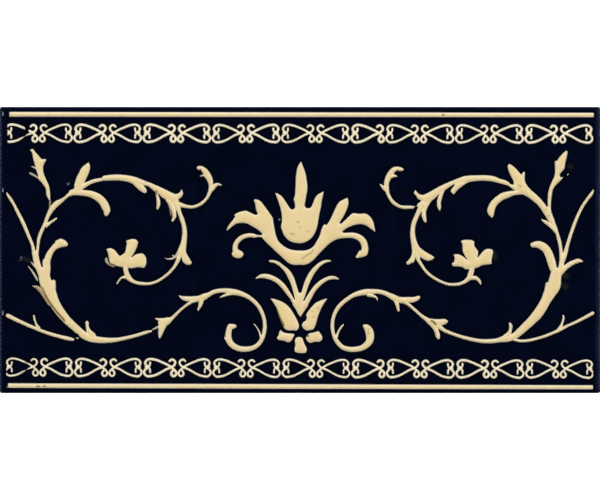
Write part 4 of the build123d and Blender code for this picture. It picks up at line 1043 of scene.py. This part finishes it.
def glazedBody():
    material, tree, shader = newMaterial("glazed_edges_and_clay_back")
    where = addNode(tree, "ShaderNodeTexCoord").outputs["Object"]
    upright = addNode(tree, "ShaderNodeSeparateXYZ", {0: where}).outputs["Z"]
    # The glaze ends in a wavering line on the sides, with a brown fringe and bare clay under it.
    waver = glaze["waver"]
    wave = spread(tree, noise(tree, where, patches["line"]), 0.3, 0.7, -waver, waver)
    level = calc(tree, "ADD", upright, wave)
    glazed = spread(tree, level, *glaze["line"])
    navy = navyGlaze(tree, where, attribute(tree, "edge"))
    speckle = spread(tree, noise(tree, where, patches["speckle"], 2.0), 0.62, 0.74)
    paler = spread(tree, noise(tree, where, patches["clay"], 4.0), 0.35, 0.65)
    clay = blend(tree, paler, glaze["clay"], glaze["clayPale"])
    clay = blend(tree, times(tree, speckle, glaze["speckleShare"]), clay, glaze["clayStain"])
    fringe = calc(tree, "SUBTRACT", spread(tree, level, *glaze["fringe"]), glazed)
    clay = blend(tree, times(tree, fringe, glaze["fringeShare"]), clay, glaze["brown"])
    tree.links.new(blend(tree, glazed, clay, navy), shader.inputs["Base Color"])
    gloss = spread(tree, glazed, 0.0, 1.0, glaze["clayRough"], glaze["edgeGloss"])
    tree.links.new(gloss, shader.inputs["Roughness"])
    shine = spread(tree, attribute(tree, "arris"), 0.0, 1.0, 0.5, 0.0)
    tree.links.new(shine, shader.inputs["Specular IOR Level"])
    rough = times(tree, noise(tree, where, patches["clayGrain"], 4.0), calc(tree, "SUBTRACT", 1.0, glazed))
    addBump(tree, shader, calc(tree, "ADD", rough, times(tree, glazed, 0.6)), glaze["bodyBump"])
    return material


faceMaterial, bodyMaterial = glazedFace(), glazedBody()
for piece in facePieces:
    piece.data.materials.append(faceMaterial)
clay.data.materials.append(bodyMaterial)
for piece in facePieces + [clay]:
    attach(piece, "root")
    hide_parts("border_tile")
print("materials made")

studio = {
    "floor": 0.82,  # how pale it is
    "floorZ": -0.1,  # a hair under the tile, so that the two surfaces aren't one
    "floorHalf": 6000.0,
    "floorGlow": 0.8,  # light that only the camera, mirrors and glass see
    "world": 0.008,
    # name: x, y, z of the lamp in metres, its width and height, and its strength in watts
    "lamps": {
        "top_box": (0.0, 0.75, 0.62, 0.7, 0.4, 6.1),
        "left_box": (-0.80, 0.10, 0.60, 0.5, 0.5, 4.0),
        "right_box": (0.80, 0.10, 0.60, 0.5, 0.5, 4.5),
        "low_box": (0.0, -0.80, 0.62, 0.6, 0.4, 3.5),
    },
    "lens": 200.0,
    "sensor": 36.0,
    "focusZ": 0.0070,  # the height that fills the picture from side to side, in metres
    "closer": 0.9985,  # the camera's distance against one that fills it exactly
    "nearest": 0.05,  # what the camera sees, in metres
    "farthest": 20.0,
}


def makeFloor():
    half = studio["floorHalf"]
    points = np.array([[-half, -half], [half, -half], [half, half], [-half, half]])
    points = np.column_stack([points, np.full(4, studio["floorZ"])])
    floor = meshFromArrays("floor", points, np.array([[0, 1, 2, 3]]), np.zeros((0, 3), int), {}, 0)
    material, tree, shader = newMaterial("pale_floor")
    shader.inputs["Base Color"].default_value = (studio["floor"],) * 3 + (1,)
    shader.inputs["Roughness"].default_value = 0.9
    shader.inputs["Specular IOR Level"].default_value = 0.0
    path = addNode(tree, "ShaderNodeLightPath")
    lit = calc(tree, "MAXIMUM", path.outputs["Is Glossy Ray"], path.outputs["Is Transmission Ray"])
    lit = calc(tree, "MAXIMUM", path.outputs["Is Camera Ray"], lit)
    glow = addNode(tree, "ShaderNodeEmission", {"Strength": times(tree, lit, studio["floorGlow"])})
    both = addNode(tree, "ShaderNodeAddShader", {0: shader.outputs[0], 1: glow.outputs[0]})
    tree.links.new(both.outputs[0], tree.nodes["Material Output"].inputs["Surface"])
    floor.data.materials.append(material)
    floor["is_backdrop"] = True


def makeLamps():
    for name, (x, y, z, width, height, watts) in studio["lamps"].items():
        light = bpy.data.lights.new(name, "AREA")
        light.shape = "RECTANGLE"
        light.size, light.size_y, light.energy = width, height, watts
        lamp = bpy.data.objects.new(name, light)
        lamp.location = (x, y, z)
        lamp.rotation_euler = (-lamp.location).to_track_quat("-Z", "Y").to_euler()  # at the tile
        bpy.context.scene.collection.objects.link(lamp)


makeFloor()
makeLamps()
world = bpy.data.worlds.new("studio")
world.use_nodes = True
background = world.node_tree.nodes["Background"]
background.inputs["Color"].default_value = (1, 1, 1, 1)
background.inputs["Strength"].default_value = studio["world"]
bpy.context.scene.world = world
bpy.context.scene.view_settings.view_transform = "Standard"

camera = bpy.data.cameras.new("camera")
camera.lens, camera.sensor_width = studio["lens"], studio["sensor"]
cameraObject = bpy.data.objects.new("camera", camera)
away = halfX / 1000 / (studio["sensor"] / 2 / studio["lens"]) * studio["closer"]
cameraObject.location = (0, 0, studio["focusZ"] + away)
camera.clip_start, camera.clip_end = studio["nearest"], studio["farthest"]
bpy.context.scene.collection.objects.link(cameraObject)
bpy.context.scene.camera = cameraObject

low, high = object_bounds()
print("size", [round((b - a) * 1000, 2) for a, b in zip(low, high)])
